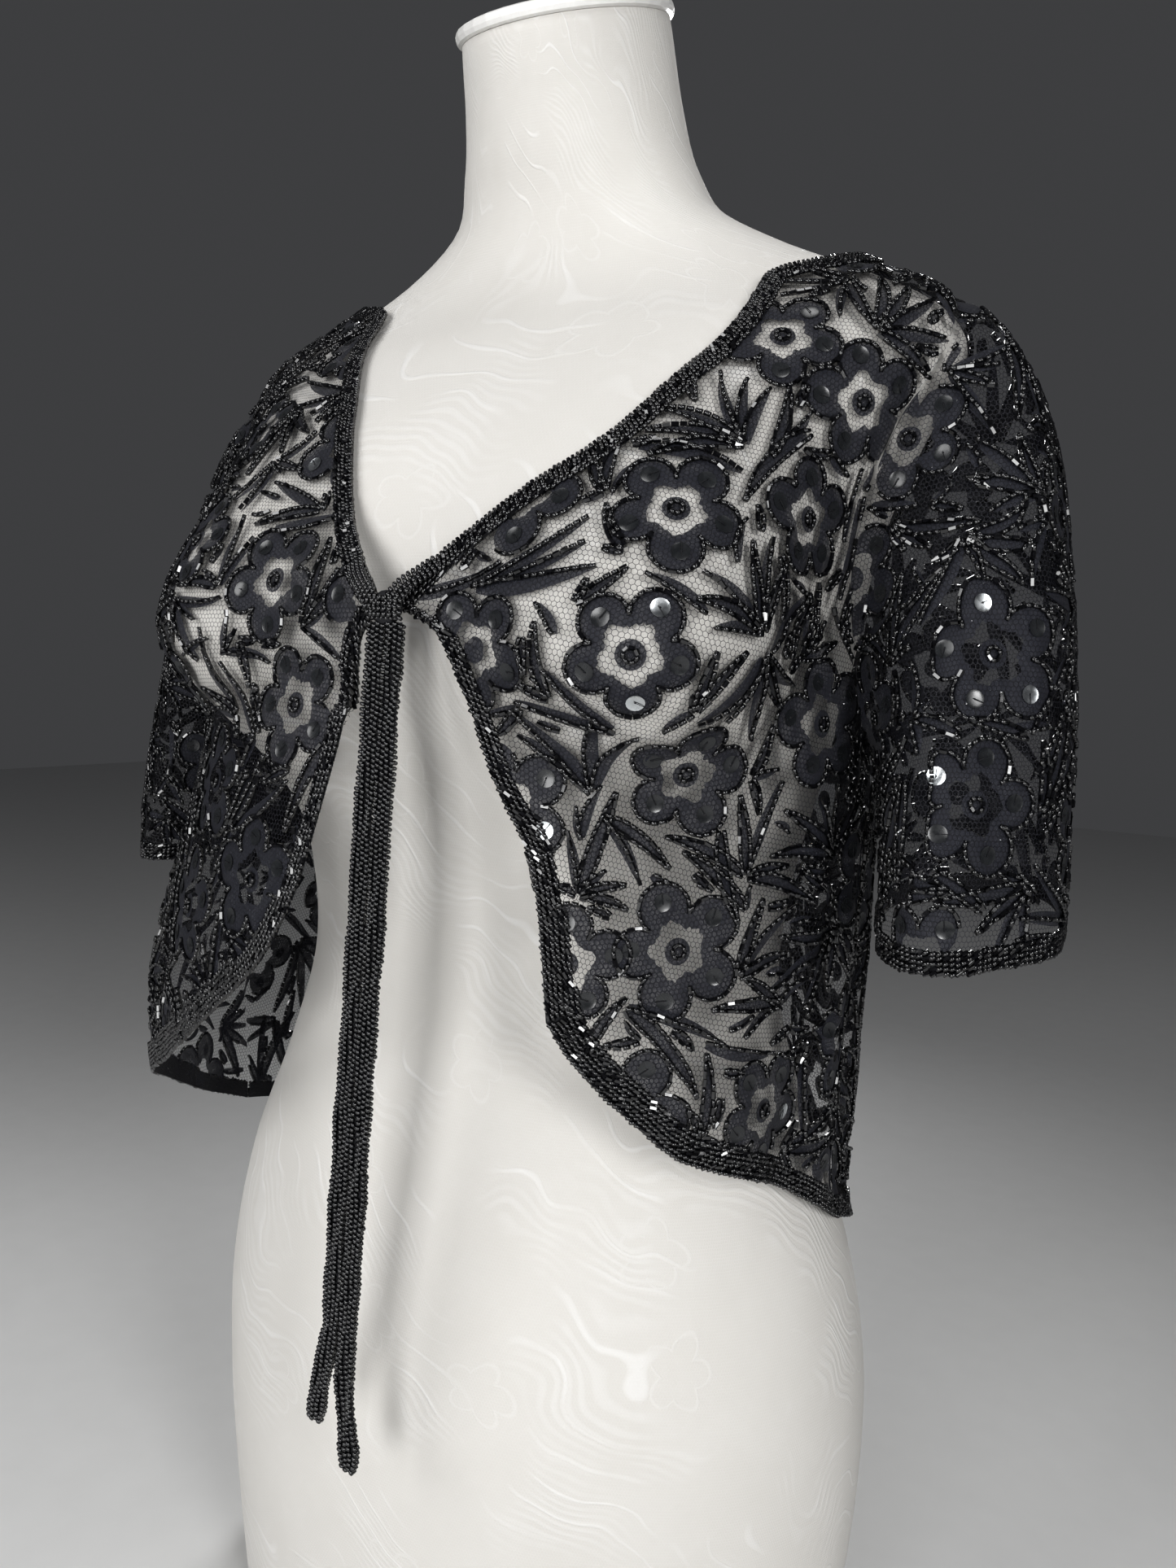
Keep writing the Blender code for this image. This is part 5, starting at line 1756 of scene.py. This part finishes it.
def form():
    """The form under its cover, with the neck leaning back, and the look of its cap."""
    turns = np.radians(np.linspace(-180, 180, FORM_AROUND + 1))
    turn, z = np.meshgrid(turns, np.linspace(0, FORM[-1].z, FORM_LEVELS))
    grid = form_at(turn, z)
    leaned = smooth_step(NECK_TILT_FROM, FORM[-1].z, grid[..., 2])
    grid[..., 2] += (grid[..., 1] - between(FORM, "centre_y", grid[..., 2])) * math.tan(NECK_TILT) * leaned
    around = np.linalg.norm(np.diff(grid, axis=1), axis=-1).mean(1).max() * FORM_AROUND
    flat = np.stack([turn * around / (2 * math.pi), z], -1)
    count = grid.shape[0] * grid.shape[1]
    rim = np.arange(FORM_AROUND)
    faces = [quads(FORM_LEVELS, FORM_AROUND + 1), rim[::-1][None], (count - FORM_AROUND - 1 + rim)[None]]
    piece = make("form_body", grid, faces, cover_look(), uv=flat)
    weld = bmesh.new()
    weld.from_mesh(piece.data)
    bmesh.ops.remove_doubles(weld, verts=weld.verts, dist=1e-6)
    weld.to_mesh(piece.data)
    weld.free()
    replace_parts(piece, "form_torso")
    look = cap_look()
    for slot in bpy.data.objects["form_cap"].material_slots:
        slot.material = look


def surface_area(grid):
    """The area of a grid of points, in square metres."""
    one = np.cross(grid[1:, 1:] - grid[:-1, :-1], grid[1:, :-1] - grid[:-1, 1:])
    return float(np.linalg.norm(one, axis=-1).sum() / 2)


def nets():
    """The net of each panel, with all that is sewn on it."""
    flats = {
        "front_left": (0.235, 0.410),
        "front_right": (0.275, 0.445),
        "back": (0.515, 0.510),
        "sleeve_left": (0.315, 0.275),
        "sleeve_right": (0.310, 0.295),
    }
    trims = [edge_front("left"), edge_front("right"), edge_back(), cuff("left"), cuff("right")]
    for k, (name, flat) in enumerate(flats.items()):
        cloth = CLOTHS[name]
        wide, tall = NET_SIDES[name]
        grid = cloth.at(*np.meshgrid(np.linspace(0, 1, wide + 1), np.linspace(0, 1, tall + 1)))[0]
        uv = unrolled(cloth, tall + 1, wide + 1)
        net = make("net_" + name, grid, [quads(tall + 1, wide + 1)], NET, uv=uv)
        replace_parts(net, name)
        pieces = Garland(name, 100 + 10 * k).make() + trims[k]
        area = surface_area(grid)


# The studio. A light has a place, a point that it faces, a size, a power and a spread in degrees.
LIGHTS = {
    "Key": ((-0.75, -1.45, 1.25), (0, 0, 0.5), (0.80, 0.80), 9.5, 180),
    "Fill": ((1.55, -1.0, 0.95), (0, 0, 0.45), (0.45, 0.80), 14, 180),
    "Front": ((0.25, -1.7, 0.55), (0, 0, 0.45), (0.60, 0.90), 11.5, 180),
    "Top": ((0.2, -0.2, 2.0), (0, 0, 0.5), (0.5, 0.5), 3, 180),
    "Back": ((-0.6, 1.7, 1.2), (0, 0, 0.5), (0.7, 0.7), 3.2, 60),
}
WORLD_COLOUR = (0.95, 0.96, 1.0, 1)
WORLD_STRENGTH = 0.06
# The camera's azimuth, pitch and roll, its distance from the axis, how far it is aside, and its height
CAMERA_TURNS = (31.0, 5.65, -2.5)
CAMERA_PLACE = (0.585, 0.020, 0.495)
FOCAL_PIXELS = 1450
PHOTO_PIXELS = 1927
SENSOR = 36


def stand(name, data, place, right, up, back):
    """Puts a light or a camera at a place, looking away from back."""
    obj = bpy.data.objects.new(name, data)
    bpy.context.scene.collection.objects.link(obj)
    axes = np.array([right, up, back]).T
    obj.matrix_world = Matrix.Translation(place) @ Matrix([(*row, 0) for row in axes] + [(0, 0, 0, 1)])
    return obj


def light(name, place, aim, size, power, spread):
    lamp = bpy.data.lights.new(name, "AREA")
    lamp.shape = "RECTANGLE"
    lamp.size, lamp.size_y = size
    lamp.energy = power
    lamp.spread = math.radians(spread)
    back = unit(np.array(place, float) - np.array(aim, float))
    right = unit(np.cross([0, 0, 1.0], back))
    stand(name, lamp, place, right, np.cross(back, right), back)


def camera():
    azimuth, pitch, roll = (math.radians(turn) for turn in CAMERA_TURNS)
    away = np.array([math.sin(azimuth), -math.cos(azimuth), 0])
    right = np.array([math.cos(azimuth), math.sin(azimuth), 0])
    far, aside, height = CAMERA_PLACE
    place = away * far + right * aside + np.array([0, 0, height])
    ahead = -away * math.cos(pitch) - np.array([0, 0, math.sin(pitch)])
    right, up = rotated(right, np.cross(right, ahead), -roll)
    lens = bpy.data.cameras.new("Camera")
    lens.sensor_fit = "VERTICAL"
    lens.sensor_height = SENSOR
    lens.lens = FOCAL_PIXELS * SENSOR / PHOTO_PIXELS
    lens.clip_start = 0.01
    bpy.context.scene.camera = stand("Camera", lens, place, right, up, -ahead)


def studio():
    look = Look("Pale floor", roughness=0.8)
    grain = look.noise(look.place(), 40.0, 3.0)
    look.to("Base Color", look.blend(grain, (0.66, 0.66, 0.655), (0.70, 0.70, 0.695)))
    bpy.ops.mesh.primitive_plane_add(size=8, location=(0, 0, 0))
    floor = bpy.context.object
    floor.name = "floor"
    floor.data.materials.append(look.material)
    world = bpy.data.worlds.new("Pale studio")
    world.use_nodes = True
    background = world.node_tree.nodes["Background"]
    background.inputs[0].default_value = WORLD_COLOUR
    background.inputs[1].default_value = WORLD_STRENGTH
    bpy.context.scene.world = world
    bpy.context.scene.view_settings.view_transform = "Standard"
    bpy.context.scene.view_settings.look = "Medium High Contrast"
    for name, values in LIGHTS.items():
        light(name, *values)


camera()
studio()
form()
nets()
tie("left", 1)
tie("right", -1)
knot()
